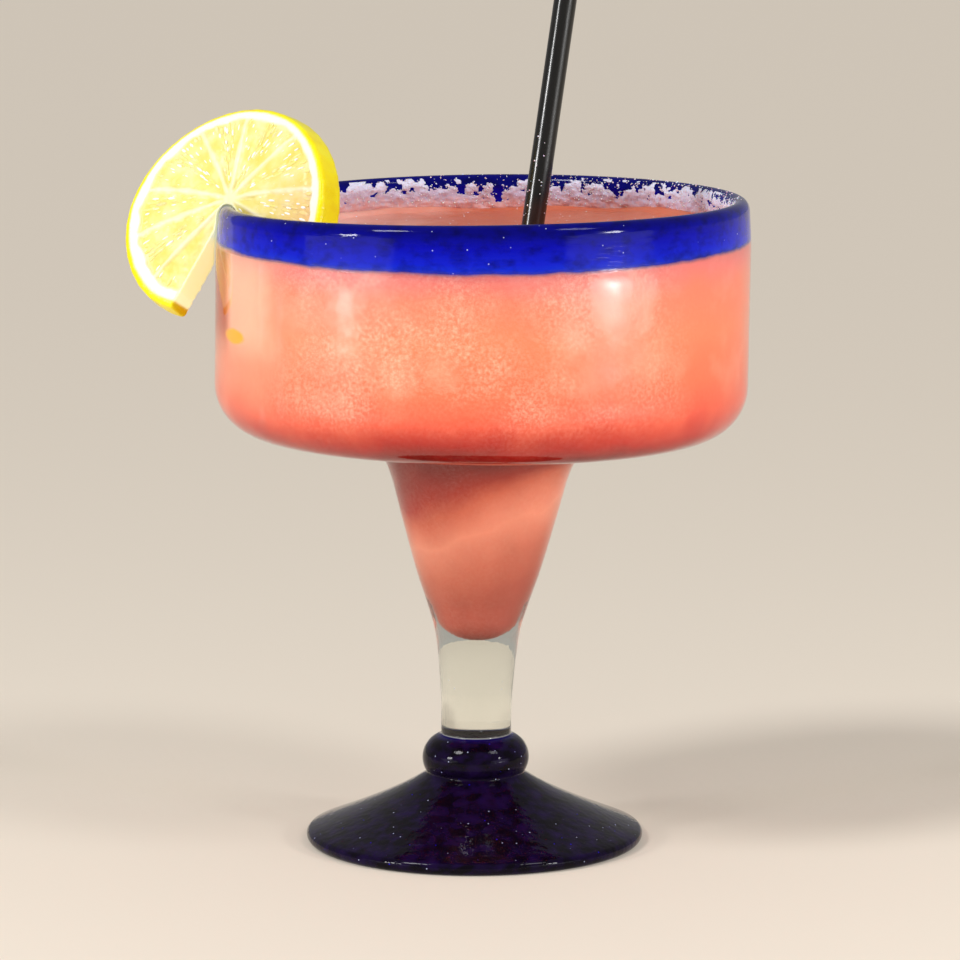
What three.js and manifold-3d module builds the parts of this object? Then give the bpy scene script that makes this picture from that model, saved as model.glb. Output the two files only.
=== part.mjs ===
// Frozen coral-pink cocktail in a hand-blown goblet, with a straw and a lemon wheel on the rim.
// Millimetres, +Z up. The origin is the middle of the foot's flat underside.
// -Y is the front: the lemon wheel sits on the left of the rim, at -X.

import * as THREE from 'three';
import { mergeVertices } from 'three/addons/utils/BufferGeometryUtils.js';
import Module from 'manifold-3d';

const wasm = await Module();
wasm.setup();

// Gap kept between pieces that touch.
const FIT_GAP = 0.3;

// Goblet, from the foot up. A 127 mm (5 inch) bowl sets the scale.
const GLASS_SIDES = 48;
const FOOT_RADIUS = 40.4;
const FOOT_EDGE_RADIUS = 1.7;
const FOOT_TOP_Z = 16.6;
const KNOP_WAIST_RADIUS = 11.9;
const KNOP_RADIUS = 12.8;
const KNOP_Z = 20.2;
const KNOP_HALF_HEIGHT = 5.8;
const KNOP_ROUND = 5.5;
const STEM_RADIUS = 8.5;
const STEM_FOOT_Z = 26;
const UNDERSIDE_Z = 98.9;
const UNDERSIDE_INNER_RADIUS = 31;
const BOWL_RADIUS = 63.3;
const BOWL_CORNER = 12;
const WALL = 3.6;
const RIM_TOP_Z = 154.7;
const LIP_HALF_WIDTH = 2.2;
const LIP_HALF_HEIGHT = 2.9;
const LIP_RING_RADIUS = 60.6;
const OUTER_LIP_START_Z = 144;
const INNER_LIP_START_Z = 146.5;
const CAVITY_BOTTOM_Z = 50;
const CAVITY_TIP_RADIUS = 6.2;

// Where the foot's hollow slope, and the flare under the bowl, are steered.
const FOOT_CONTROL = [18.6, 11.4];
const FLARE_CONTROL_RADIUS = 24.4;

// Waypoints [radius, height] of the solid stem and the cone that it opens into, on the outside.
const STEM_OUTLINE = [
  [STEM_RADIUS - 0.1, STEM_FOOT_Z + 0.6],
  [STEM_RADIUS + 0.1, 36],
  [9.9, 49.5],
  [11.9, 57],
  [14.9, 66],
  [18.4, 78.4],
  [20.8, 87.4],
];
// Waypoints of the hollow cone inside it, from the bowl's floor down to the tip.
const CONE_OUTLINE = [
  [18, 88],
  [15.2, 79],
  [12.6, 72],
  [9.5, 64],
  [7, 58.5],
];
// Radii where the bowl's flat floor starts to fall into the cone, and where its curve is steered.
const FLOOR_EDGE_RADIUS = 30.5;
const FLOOR_CONTROL_RADIUS = 23.5;

// What the maker's hand left: the glass leans, its bowl is not level and its rim sags at two sides.
const LEAN = 0.015;
const FLOOR_TILT = -0.009;
const FLOOR_TILT_START_Z = 88;
const RIM_TILT = 0.0115;
const RIM_TILT_START_Z = 108;
const RIM_SAG = 0.6;
const RIM_SAG_START_Z = 140;

// Frozen drink: its level, the dish, slope and waves of its surface, and the crust up the wall.
const LEVEL_Z = 146;
const SURFACE_DISH = 1.0;
const SURFACE_SLOPE = 0.012;
const SURFACE_WAVE = 0.5;
const WAVE_ACROSS = 9;
const WAVE_DEEP = 11;
const COLLAR_HEIGHT = 2.2;
const COLLAR_THICKNESS = 1.3;

// Straw: a 146 mm (5.75 inch) bar straw that stands in the cone of the bowl.
const STRAW_LENGTH = 146;
const STRAW_RADIUS = 2.7;
const STRAW_WALL = 0.25;
const STRAW_SIDES = 20;
const STRAW_TIP = new THREE.Vector3(1.8, -5.6, 65);
const STRAW_SURFACE_POINT = new THREE.Vector3(13.5, 0.5, LEVEL_Z);

// Lemon wheel, in its own frame: its faces look along local Z, its slit points down local -Y.
const LEMON_RADIUS = 27.4;
const LEMON_FLARE = 0.8;
const LEMON_THICKNESS = 6.8;
const LEMON_SEGMENTS = 10;
const LEMON_STEPS_PER_SEGMENT = 4;
const LEMON_FLESH_RADIUS = 21.6;
const LEMON_CORE_RADIUS = 3.25;
const LEMON_PITH_STEP = 0.9;
const LEMON_EDGE_ROUND = 0.8;
const LEMON_SWELL = 0.4;
const LEMON_CORE_RISE = 3.8;
const LEMON_CENTRE = new THREE.Vector3(-56.9, -1.9, 150);
const LEMON_TURN = THREE.MathUtils.degToRad(-32);
const LEMON_LEAN = THREE.MathUtils.degToRad(-26);
const LEMON_BEND = 1.6;
const LEMON_BEND_ANGLE = THREE.MathUtils.degToRad(21);
const INNER_LOBE_STRETCH = 0.2;
const INNER_LOBE_ANGLE = THREE.MathUtils.degToRad(-79);
const INNER_LOBE_CURL = 1.5;
const OUTER_LOBE_STRETCH = -0.11;
const OUTER_LOBE_ANGLE = THREE.MathUtils.degToRad(-100);
const LOBE_SPREAD = THREE.MathUtils.degToRad(18);
const SLIT_TOP = 2;
const SLIT_OUTER_ANGLE = THREE.MathUtils.degToRad(-109.5);
const SLIT_INNER_ANGLE = THREE.MathUtils.degToRad(-91);

const { smoothstep } = THREE.MathUtils;

function arc(r, z, xRadius, zRadius, startDegrees, endDegrees, steps) {
  const start = THREE.MathUtils.degToRad(startDegrees);
  const end = THREE.MathUtils.degToRad(endDegrees);
  return new THREE.EllipseCurve(r, z, xRadius, zRadius, start, end, end < start).getPoints(steps);
}

function bend(from, control, to, steps) {
  const ends = [from, control, to].map(([r, z]) => new THREE.Vector2(r, z));
  return new THREE.QuadraticBezierCurve(...ends).getPoints(steps);
}

function smooth(points, steps) {
  return new THREE.SplineCurve(points.map(([r, z]) => new THREE.Vector2(r, z))).getPoints(steps);
}

// Turns a closed three.js geometry into a solid, with its doubled vertices and slivers gone.
function solidFrom(geometry) {
  const bare = geometry.clone();
  bare.deleteAttribute('normal');
  bare.deleteAttribute('uv');
  const merged = mergeVertices(bare, 1e-4);
  const index = merged.index.array;
  const corners = [];
  for (let i = 0; i < index.length; i += 3) {
    const [a, b, c] = [index[i], index[i + 1], index[i + 2]];
    if (a !== b && b !== c && c !== a) {
      corners.push(a, b, c);
    }
  }
  return new wasm.Manifold(new wasm.Mesh({
    numProp: 3,
    vertProperties: merged.attributes.position.array,
    triVerts: new Uint32Array(corners),
  }));
}

function geometryFrom(solid) {
  const mesh = solid.getMesh();
  const geometry = new THREE.BufferGeometry();
  geometry.setAttribute('position', new THREE.BufferAttribute(mesh.vertProperties, 3));
  geometry.setIndex(new THREE.BufferAttribute(mesh.triVerts, 1));
  geometry.computeVertexNormals();
  return geometry;
}

function largestPiece(solid) {
  const pieces = solid.decompose();
  return pieces.reduce((best, piece) => (piece.volume() > best.volume() ? piece : best));
}

// Spins a profile about +Z. The profile runs up the outside first, and shape moves each vertex.
function turned(profile, sides, shape) {
  const geometry = new THREE.LatheGeometry(profile, sides);
  geometry.rotateX(Math.PI / 2);
  const position = geometry.attributes.position;
  const vertex = new THREE.Vector3();
  for (let i = 0; i < position.count; i += 1) {
    vertex.fromBufferAttribute(position, i);
    shape(vertex);
    position.setXYZ(i, vertex.x, vertex.y, vertex.z);
  }
  return geometry;
}

function unchanged() {}

// The lean, the uneven bowl and the sagging rim, shared by the glass and by all that fills it.
function handmade(vertex) {
  const floorPart = FLOOR_TILT * smoothstep(vertex.z, FLOOR_TILT_START_Z, UNDERSIDE_Z);
  const rimPart = (RIM_TILT - FLOOR_TILT) * smoothstep(vertex.z, RIM_TILT_START_Z, LEVEL_Z);
  const sag = RIM_SAG * smoothstep(vertex.z, RIM_SAG_START_Z, RIM_TOP_Z) * (vertex.x / BOWL_RADIUS) ** 2;
  const rise = (floorPart + rimPart) * vertex.x - sag;
  vertex.x += LEAN * vertex.z;
  vertex.z += rise;
}

// Inside of the glass from the wall down to the tip of the cone, drawn in by inset.
function cavityProfile(inset) {
  const wallRadius = BOWL_RADIUS - WALL - inset;
  const floorZ = UNDERSIDE_Z + WALL + inset;
  const corner = BOWL_CORNER - WALL;
  const cone = CONE_OUTLINE.map(([r, z]) => [r - inset, z]);
  const tipZ = CAVITY_BOTTOM_Z + CAVITY_TIP_RADIUS;
  const tip = CAVITY_TIP_RADIUS - inset;
  return [
    ...arc(wallRadius - corner, floorZ + corner, corner, corner, 0, -90, 5),
    ...bend([FLOOR_EDGE_RADIUS, floorZ], [FLOOR_CONTROL_RADIUS, floorZ], cone[0], 5),
    ...smooth(cone, 6).slice(1),
    ...arc(0, tipZ, tip, tip, -10, -90, 4),
  ];
}

function glassProfile() {
  const footCentre = FOOT_RADIUS - FOOT_EDGE_RADIUS;
  const footEdge = arc(footCentre, FOOT_EDGE_RADIUS, FOOT_EDGE_RADIUS, FOOT_EDGE_RADIUS, -90, 62, 4);
  const coneStart = footEdge[footEdge.length - 1];
  const footCone = bend([coneStart.x, coneStart.y], FOOT_CONTROL, [KNOP_WAIST_RADIUS, FOOT_TOP_Z], 6);
  const knop = arc(KNOP_RADIUS - KNOP_ROUND, KNOP_Z, KNOP_ROUND, KNOP_HALF_HEIGHT, -35, 78, 7);
  const stem = smooth(STEM_OUTLINE, 10);
  const flareStart = STEM_OUTLINE[STEM_OUTLINE.length - 1];
  const flareControl = [FLARE_CONTROL_RADIUS, UNDERSIDE_Z];
  const flare = bend(flareStart, flareControl, [UNDERSIDE_INNER_RADIUS, UNDERSIDE_Z], 5);
  const corner = arc(
    BOWL_RADIUS - BOWL_CORNER, UNDERSIDE_Z + BOWL_CORNER, BOWL_CORNER, BOWL_CORNER, -90, 0, 6,
  );
  const lipZ = RIM_TOP_Z - LIP_HALF_HEIGHT;
  const lip = arc(LIP_RING_RADIUS, lipZ, LIP_HALF_WIDTH, LIP_HALF_HEIGHT, 0, 180, 8);
  return [
    new THREE.Vector2(0, 0),
    ...footEdge,
    ...footCone.slice(1),
    ...knop,
    ...stem,
    ...flare.slice(1),
    ...corner,
    new THREE.Vector2(BOWL_RADIUS, OUTER_LIP_START_Z),
    ...lip,
    new THREE.Vector2(BOWL_RADIUS - WALL, INNER_LIP_START_Z),
    ...cavityProfile(0),
  ];
}

// Height of the slush above its level: dished in the middle, wavy, with a crust up the wall.
function surfaceRise(x, y) {
  const wallRadius = BOWL_RADIUS - WALL - FIT_GAP;
  const r = Math.hypot(x, y);
  const angle = Math.atan2(y, x);
  const dish = -SURFACE_DISH * (1 - (r / wallRadius) ** 2);
  const wave = SURFACE_WAVE * Math.sin(x / WAVE_ACROSS + 0.7) * Math.cos(y / WAVE_DEEP - 0.4);
  const patch = 0.55 + 0.3 * Math.sin(3 * angle + 0.6) + 0.15 * Math.sin(11 * angle);
  const back = 0.6 + 0.4 * Math.sin(angle);
  const nearWall = smoothstep(r, wallRadius - 2 * COLLAR_THICKNESS, wallRadius - COLLAR_THICKNESS / 2);
  const crust = COLLAR_HEIGHT * patch * back * nearWall;
  return dish + wave + SURFACE_SLOPE * x + crust;
}

// Radius of the glass inside at a height below the lip's widest, where it overhangs the wall.
function insideRadius(z) {
  const wallRadius = BOWL_RADIUS - WALL;
  const overhang = wallRadius - (LIP_RING_RADIUS - LIP_HALF_WIDTH);
  const climb = (z - INNER_LIP_START_Z) / (RIM_TOP_Z - LIP_HALF_HEIGHT - INNER_LIP_START_Z);
  return wallRadius - overhang * Math.max(0, climb);
}

function drinkBody() {
  const wallRadius = BOWL_RADIUS - WALL - FIT_GAP;
  const surfaceRings = [
    0, 10, 20, 30, 40, 49, wallRadius - 2 * COLLAR_THICKNESS, wallRadius - COLLAR_THICKNESS, wallRadius,
  ];
  const profile = [
    ...cavityProfile(FIT_GAP).reverse(),
    ...surfaceRings.reverse().map((r) => new THREE.Vector2(r, LEVEL_Z)),
  ];
  return solidFrom(turned(profile, GLASS_SIDES, (vertex) => {
    if (vertex.z > LEVEL_Z - 0.01) {
      vertex.z += surfaceRise(vertex.x, vertex.y);
      const r = Math.hypot(vertex.x, vertex.y);
      const pullIn = Math.min(1, (insideRadius(vertex.z) - FIT_GAP) / Math.max(r, 1));
      vertex.x *= pullIn;
      vertex.y *= pullIn;
    }
    handmade(vertex);
  }));
}

// A tube, or a rod where the inner radius is 0, along local +Z from just below its tip.
function strawBody(outerRadius, innerRadius, length, below) {
  const profile = [
    new THREE.Vector2(innerRadius, -below),
    new THREE.Vector2(outerRadius, -below),
    new THREE.Vector2(outerRadius, length),
    new THREE.Vector2(innerRadius, length),
    new THREE.Vector2(innerRadius, -below),
  ];
  return solidFrom(turned(profile, STRAW_SIDES, unchanged));
}

// 1 on a line from the middle at that angle, fading to 0 on both sides.
function nearAngle(angle, centre) {
  const away = Math.atan2(Math.sin(angle - centre), Math.cos(angle - centre));
  return Math.exp(-((away / LOBE_SPREAD) ** 2));
}

// Moves a vertex of a flat round slice to the wheel's shape: segments, core, long inner lobe, bend.
function lemonShape(vertex, swell) {
  const r = Math.hypot(vertex.x, vertex.y);
  const angle = Math.atan2(vertex.y, vertex.x);
  if (vertex.z < 0 && r > LEMON_RADIUS - 0.1) {
    const flare = 1 + LEMON_FLARE * (0.5 + 0.5 * Math.cos(angle)) / LEMON_RADIUS;
    vertex.x *= flare;
    vertex.y *= flare;
  }
  if (r > LEMON_CORE_RADIUS - 0.1 && r < LEMON_FLESH_RADIUS + 0.1) {
    const share = Math.abs(Math.sin(angle * LEMON_SEGMENTS / 2));
    vertex.z += Math.sign(vertex.z) * swell * Math.min(1, 1.4 * share);
  }
  const innerLobe = nearAngle(angle, INNER_LOBE_ANGLE);
  const outerLobe = nearAngle(angle, OUTER_LOBE_ANGLE);
  const lobes = INNER_LOBE_STRETCH * innerLobe + OUTER_LOBE_STRETCH * outerLobe;
  const stretch = 1 + lobes * (r / LEMON_RADIUS);
  vertex.x *= stretch;
  vertex.y *= stretch;
  vertex.y += LEMON_CORE_RISE * Math.max(0, 1 - (r / LEMON_RADIUS) ** 2);
  const curl = LEMON_BEND * Math.cos(2 * (angle - LEMON_BEND_ANGLE)) + INNER_LOBE_CURL * innerLobe;
  vertex.z += curl * (r / LEMON_RADIUS) ** 2;
}

// The whole wheel before its slit is cut, grown all round to make room for it in the drink.
function lemonSlice(grow, swell) {
  const half = LEMON_THICKNESS / 2 + grow;
  const radius = LEMON_RADIUS + grow;
  const face = [
    0, LEMON_CORE_RADIUS, LEMON_RADIUS / 2, LEMON_FLESH_RADIUS, LEMON_FLESH_RADIUS + LEMON_PITH_STEP,
  ];
  const rind = [
    [radius, -half],
    [radius + 0.3, -half + LEMON_EDGE_ROUND],
    [radius, half - LEMON_EDGE_ROUND],
    [radius - 0.7, half],
  ];
  const profile = [
    ...face.map((r) => new THREE.Vector2(r, -half)),
    ...rind.map(([r, z]) => new THREE.Vector2(r, z)),
    ...face.reverse().map((r) => new THREE.Vector2(r, half)),
  ];
  const sides = LEMON_SEGMENTS * LEMON_STEPS_PER_SEGMENT;
  return solidFrom(turned(profile, sides, (vertex) => lemonShape(vertex, swell)));
}

// The opened slit, a wedge from the middle of the wheel down past its edge.
function slitWedge(shrink) {
  const reach = 2 * LEMON_RADIUS;
  const outer = SLIT_OUTER_ANGLE + shrink / LEMON_RADIUS;
  const inner = SLIT_INNER_ANGLE - shrink / LEMON_RADIUS;
  const shape = new THREE.Shape([
    new THREE.Vector2(0, SLIT_TOP),
    new THREE.Vector2(reach * Math.cos(outer), reach * Math.sin(outer)),
    new THREE.Vector2(reach * Math.cos(inner), reach * Math.sin(inner)),
  ]);
  const depth = 4 * LEMON_THICKNESS;
  const geometry = new THREE.ExtrudeGeometry(shape, { depth, bevelEnabled: false });
  geometry.translate(0, 0, -depth / 2);
  return solidFrom(geometry);
}

// The upper wall of the goblet with a gap all round, to cut the wheel's slit over the rim.
function rimEnvelope() {
  const footZ = UNDERSIDE_Z + BOWL_CORNER;
  const inside = BOWL_RADIUS - WALL - FIT_GAP;
  const outside = BOWL_RADIUS + FIT_GAP;
  const lipZ = RIM_TOP_Z - LIP_HALF_HEIGHT;
  const profile = [
    new THREE.Vector2(inside, footZ),
    new THREE.Vector2(outside, footZ),
    new THREE.Vector2(outside, OUTER_LIP_START_Z),
    ...arc(LIP_RING_RADIUS, lipZ, LIP_HALF_WIDTH + FIT_GAP, LIP_HALF_HEIGHT + FIT_GAP, 0, 180, 8),
    new THREE.Vector2(inside, INNER_LIP_START_Z),
    new THREE.Vector2(inside, footZ),
  ];
  return solidFrom(turned(profile, 2 * GLASS_SIDES, handmade));
}

const lemonPlace = new THREE.Group();
lemonPlace.position.copy(LEMON_CENTRE);
lemonPlace.rotation.set(Math.PI / 2 + LEMON_LEAN, 0, LEMON_TURN, 'ZYX');
lemonPlace.updateMatrixWorld(true);

const strawPlace = new THREE.Group();
const strawDirection = STRAW_SURFACE_POINT.clone().sub(STRAW_TIP).normalize();
strawPlace.position.copy(STRAW_TIP);
strawPlace.quaternion.setFromUnitVectors(new THREE.Vector3(0, 0, 1), strawDirection);
strawPlace.updateMatrixWorld(true);

function placed(solid, place) {
  return solid.transform(place.matrixWorld.elements);
}

function glassGeometry() {
  return geometryFrom(solidFrom(turned(glassProfile(), GLASS_SIDES, handmade)));
}

function drinkGeometry() {
  const strawRoom = strawBody(STRAW_RADIUS + FIT_GAP, 0, STRAW_LENGTH, FIT_GAP);
  const lemonRoom = lemonSlice(FIT_GAP, LEMON_SWELL).subtract(slitWedge(FIT_GAP));
  const drink = drinkBody()
    .subtract(placed(strawRoom, strawPlace))
    .subtract(placed(lemonRoom, lemonPlace));
  return geometryFrom(largestPiece(drink));
}

function lemonGeometry() {
  const toWheel = lemonPlace.matrixWorld.clone().invert();
  const rim = rimEnvelope().transform(toWheel.elements);
  const wheel = lemonSlice(0, LEMON_SWELL).subtract(slitWedge(0)).subtract(rim);
  return geometryFrom(largestPiece(wheel));
}

function strawGeometry() {
  return geometryFrom(strawBody(STRAW_RADIUS, STRAW_RADIUS - STRAW_WALL, STRAW_LENGTH, 0));
}

function named(name, geometry, material) {
  const mesh = new THREE.Mesh(geometry, new THREE.MeshStandardMaterial(material));
  mesh.name = name;
  return mesh;
}

const cocktail = new THREE.Group();
cocktail.add(named('glass', glassGeometry(), {
  color: 0x2a3ec8, roughness: 0.05, metalness: 0, transparent: true, opacity: 0.45,
}));
cocktail.add(named('frozen_drink', drinkGeometry(), { color: 0xf07f68, roughness: 0.45, metalness: 0 }));
strawPlace.add(named('straw', strawGeometry(), { color: 0x0b0b0d, roughness: 0.25, metalness: 0 }));
lemonPlace.add(named('lemon_wheel', lemonGeometry(), { color: 0xf6e27a, roughness: 0.4, metalness: 0 }));
cocktail.add(strawPlace, lemonPlace);

export default cocktail;
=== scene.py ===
# %% [markdown]
# # A frozen cocktail in a hand-blown goblet
#
# This lesson dresses a frozen cocktail: a coral-pink slush in a heavy goblet with a cobalt
# rim, knop and foot, a black straw, and a lemon wheel slit onto the rim. The real sizes are
# settled in a frame of plain solids, which the first cell loads. Every piece made here goes
# where that frame says, in the same coordinates, so nothing is fitted by eye afterwards.

# %% Load the frame
import math
import random

import bmesh
import bpy
from mathutils import Matrix, Vector, noise
from mathutils.geometry import interpolate_bezier


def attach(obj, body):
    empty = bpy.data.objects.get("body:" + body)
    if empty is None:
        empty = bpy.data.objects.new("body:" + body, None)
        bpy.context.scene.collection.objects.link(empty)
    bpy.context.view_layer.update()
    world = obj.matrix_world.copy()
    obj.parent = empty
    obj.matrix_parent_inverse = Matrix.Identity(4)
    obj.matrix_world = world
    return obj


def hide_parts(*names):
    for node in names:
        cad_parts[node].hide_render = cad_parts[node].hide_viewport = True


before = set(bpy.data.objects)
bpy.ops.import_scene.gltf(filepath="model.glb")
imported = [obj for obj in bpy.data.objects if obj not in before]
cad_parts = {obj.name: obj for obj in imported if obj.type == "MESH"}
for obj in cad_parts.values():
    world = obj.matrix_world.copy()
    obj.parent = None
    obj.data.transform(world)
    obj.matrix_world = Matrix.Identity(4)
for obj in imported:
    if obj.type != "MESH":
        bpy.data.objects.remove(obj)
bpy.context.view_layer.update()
print("nodes in the frame:", sorted(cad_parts))

# %% [markdown]
# Blender counts in metres and a glassmaker in millimetres. All sizes below are written in
# millimetres, and a mesh is turned into metres once, when it is finished.

# %% Units, colours and finished pieces
MM = 0.001


def srgb(code):
    """Linear colour from a #RRGGBB code, as the eye reads it off a screen."""
    channels = [int(code[place:place + 2], 16) / 255 for place in (1, 3, 5)]
    return [c / 12.92 if c <= 0.04045 else ((c + 0.055) / 1.055) ** 2.4 for c in channels] + [1.0]


def smoothstep(value, low, high):
    """0 below low, 1 above high, and a soft turn between them."""
    share = min(1.0, max(0.0, (value - low) / (high - low)))
    return share * share * (3 - 2 * share)


def finish_piece(name, shape, material):
    """Turns a bmesh in millimetres into an object that rides on the one body of the drink."""
    bmesh.ops.scale(shape, vec=(MM, MM, MM), verts=shape.verts)
    mesh = bpy.data.meshes.new(name)
    shape.to_mesh(mesh)
    shape.free()
    mesh.shade_smooth()
    mesh.materials.append(material)
    piece = bpy.data.objects.new(name, mesh)
    bpy.context.collection.objects.link(piece)
    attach(piece, "root")
    triangles = sum(len(face.vertices) - 2 for face in mesh.polygons)
    print(f"{name}: {triangles} triangles")
    return piece


# %% [markdown]
# ## Camera, floor and light
#
# The camera stands where the picture was taken from: 1.2 m away and a little above the
# glass, looking down by about nine degrees through a long lens. The floor is a plain pale
# sheet, and two hazy suns with a dim pale sky light it evenly.
#
# Glass shows what it reflects. So softboxes stand in front, left and right. The low ones
# are wide and flat, because the round wall squeezes what it mirrors sideways, and each is a
# nest of lamps that grow smaller and brighter, so that its glare on the bowl has a soft
# edge. The high ones lay a pale veil on the rim, and glint on the lip and the knop.

# %% Camera
TARGET = Vector((1.35, 0, 87.4)) * MM
CAMERA_DISTANCE = 1200 * MM
CAMERA_ELEVATION = math.radians(8.9)
LENS = 188.85


def direction(azimuth, elevation):
    """Unit vector from the drink towards a place in the room; azimuth 0 is the front."""
    flat = math.cos(elevation)
    return Vector((math.sin(azimuth) * flat, -math.cos(azimuth) * flat, math.sin(elevation)))


camera = bpy.data.objects.new("camera", bpy.data.cameras.new("camera"))
camera.data.lens = LENS
camera.location = TARGET + CAMERA_DISTANCE * direction(0, CAMERA_ELEVATION)
camera.rotation_euler = (math.pi / 2 - CAMERA_ELEVATION, 0, 0)
bpy.context.collection.objects.link(camera)
bpy.context.scene.camera = camera
bpy.context.scene.view_settings.view_transform = "Standard"
print("camera at", [round(c, 3) for c in camera.location])

# %% A small function that adds a shader node
# Each value is a number, a colour or the socket of another node, which is then linked.


def add(tree, kind, sockets=None, stops=None, **settings):
    """Adds a shader node, sets it, and fills its sockets; stops are a colour ramp's."""
    made = tree.nodes.new("ShaderNode" + kind)
    for name, value in settings.items():
        setattr(made, name, value)
    for socket, value in (sockets or {}).items():
        if isinstance(value, bpy.types.NodeSocket):
            tree.links.new(value, made.inputs[socket])
        else:
            made.inputs[socket].default_value = value
    if stops:
        elements = made.color_ramp.elements
        while len(elements) < len(stops):
            elements.new(0.5)
        for element, (place, colour) in zip(elements, stops):
            element.position = place
            element.color = colour
    return made


def new_material(name):
    """An empty material and its node tree."""
    material = bpy.data.materials.new(name)
    material.use_nodes = True
    material.node_tree.nodes.clear()
    return material, material.node_tree


# %% Floor and lights
FLOOR_SIZE = 16
SUN_WIDTH = 14
LAMP_DISTANCE = 720 * MM


def pale_floor_paint():
    material, tree = new_material("pale_matt_floor")
    shader = add(tree, "BsdfPrincipled", {"Base Color": srgb("#E6DBCC"), "Roughness": 0.9})
    add(tree, "OutputMaterial", {"Surface": shader.outputs[0]})
    return material


def aimed_light(name, kind, azimuth, elevation):
    """A light of some kind that faces the bowl from a side and a height in degrees."""
    light = bpy.data.objects.new(name, bpy.data.lights.new(name, kind))
    toward = direction(math.radians(azimuth), math.radians(elevation))
    light.location = TARGET + toward * LAMP_DISTANCE
    light.rotation_euler = toward.to_track_quat("Z", "Y").to_euler()
    light.visible_camera = False
    bpy.context.collection.objects.link(light)
    return light


def soft_sun(name, azimuth, elevation, strength):
    """Parallel light, so that near and far floor are equally bright."""
    light = aimed_light(name, "SUN", azimuth, elevation)
    light.data.angle = math.radians(SUN_WIDTH)
    light.data.energy = strength


def softbox(name, azimuth, lamp_height, width, height, power):
    """A flat oval lamp at a height above the floor, all in millimetres, and in watts."""
    elevation = math.degrees(math.asin((lamp_height * MM - TARGET.z) / LAMP_DISTANCE))
    light = aimed_light(name, "AREA", azimuth, elevation)
    light.data.shape = "ELLIPSE"
    light.data.size = width * MM
    light.data.size_y = height * MM
    light.data.energy = power


floor_shape = bmesh.new()
bmesh.ops.create_grid(floor_shape, x_segments=2, y_segments=2, size=FLOOR_SIZE / 2)
floor_mesh = bpy.data.meshes.new("floor")
floor_shape.to_mesh(floor_mesh)
floor_shape.free()
floor_mesh.materials.append(pale_floor_paint())
floor = bpy.data.objects.new("floor", floor_mesh)
bpy.context.collection.objects.link(floor)

soft_sun("sun_left", azimuth=-52, elevation=48, strength=1.25)
soft_sun("sun_right", azimuth=50, elevation=48, strength=0.5)
for side, azimuth, low_height, share in (("left", -58, 66, 0.3), ("right", 54, 58, 0.9)):
    softbox(f"lamp_high_{side}", azimuth, lamp_height=274, width=100, height=120, power=1.8)
    softbox(f"softbox_high_{side}", azimuth, lamp_height=140, width=560, height=120, power=0.25)
    softbox(f"lamp_low_{side}", azimuth, low_height, width=100, height=13, power=0.09 * share)
    softbox(f"halo_{side}", azimuth, low_height, width=250, height=26, power=0.12 * share)
    softbox(f"haze_{side}", azimuth, low_height - 7, width=600, height=54, power=0.14 * share)

world = bpy.data.worlds.new("pale_room")
world.use_nodes = True
world.node_tree.nodes["Background"].inputs["Color"].default_value = srgb("#F4F2EF")
world.node_tree.nodes["Background"].inputs["Strength"].default_value = 0.42
bpy.context.scene.world = world

# %% [markdown]
# ## The goblet
#
# The goblet is one fused piece of soda-lime glass. A blower gathers the bowl with its hollow
# cone, draws a solid stem from it, presses on a cobalt knop and foot, and winds a thread of
# cobalt glass on the rim, which fire-polishing melts to a soft lip. All of it was turned at
# the bench, so a spun profile makes it: arcs and Bezier stretches in a chain, from the
# middle of the underside up the outside, over the lip and down the inside to the tip of
# the cone. A cube or a cylinder pushed into shape would lose the even wall.

# %% Sizes of the goblet
FOOT_RADIUS = 40.4
FOOT_EDGE_RADIUS = 1.7
FOOT_TOP_Z = 16.6
FOOT_CONTROL = (18.6, 11.4)
KNOP_WAIST_RADIUS = 11.9
KNOP_RADIUS = 12.8
KNOP_Z = 20.2
KNOP_HALF_HEIGHT = 5.8
KNOP_ROUND = 5.5
STEM_RADIUS = 8.5
STEM_FOOT_Z = 26
STEM_OUTLINE = [
    (STEM_RADIUS - 0.1, STEM_FOOT_Z + 0.6), (STEM_RADIUS + 0.1, 36), (9.9, 49.5), (11.9, 57),
    (14.9, 66), (18.4, 78.4), (20.8, 87.4),
]
CONE_OUTLINE = [(18, 88), (15.2, 79), (12.6, 72), (9.5, 64), (7, 58.5)]
UNDERSIDE_Z = 98.9
UNDERSIDE_INNER_RADIUS = 31
FLARE_CONTROL_RADIUS = 24.4
FLOOR_EDGE_RADIUS = 30.5
FLOOR_CONTROL_RADIUS = 23.5
BOWL_RADIUS = 63.3
BOWL_CORNER = 12
WALL = 3.6
RIM_TOP_Z = 154.7
LIP_HALF_WIDTH = 2.2
LIP_HALF_HEIGHT = 2.9
LIP_RING_RADIUS = 60.6
LIP_Z = RIM_TOP_Z - LIP_HALF_HEIGHT
OUTER_LIP_START_Z = 144
INNER_LIP_START_Z = 146.5
CAVITY_BOTTOM_Z = 50
CAVITY_TIP_RADIUS = 6.2
GLASS_STEPS = 192

# %% Curves of a profile
# A profile is a chain of (radius, height) points. These helpers draw its round stretches.


def arc(r, z, r_radius, z_radius, start, end, steps):
    """Points of an ellipse's arc between two angles in degrees."""
    angles = [math.radians(start + (end - start) * i / steps) for i in range(steps + 1)]
    return [(r + r_radius * math.cos(a), z + z_radius * math.sin(a)) for a in angles]


def bend(start, control, end, steps):
    """Points of a curve that leaves start and reaches end aiming at one control point."""
    start, control, end = Vector(start), Vector(control), Vector(end)
    handles = start.lerp(control, 2 / 3), end.lerp(control, 2 / 3)
    return [tuple(p) for p in interpolate_bezier(start, *handles, end, steps + 1)]


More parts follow.
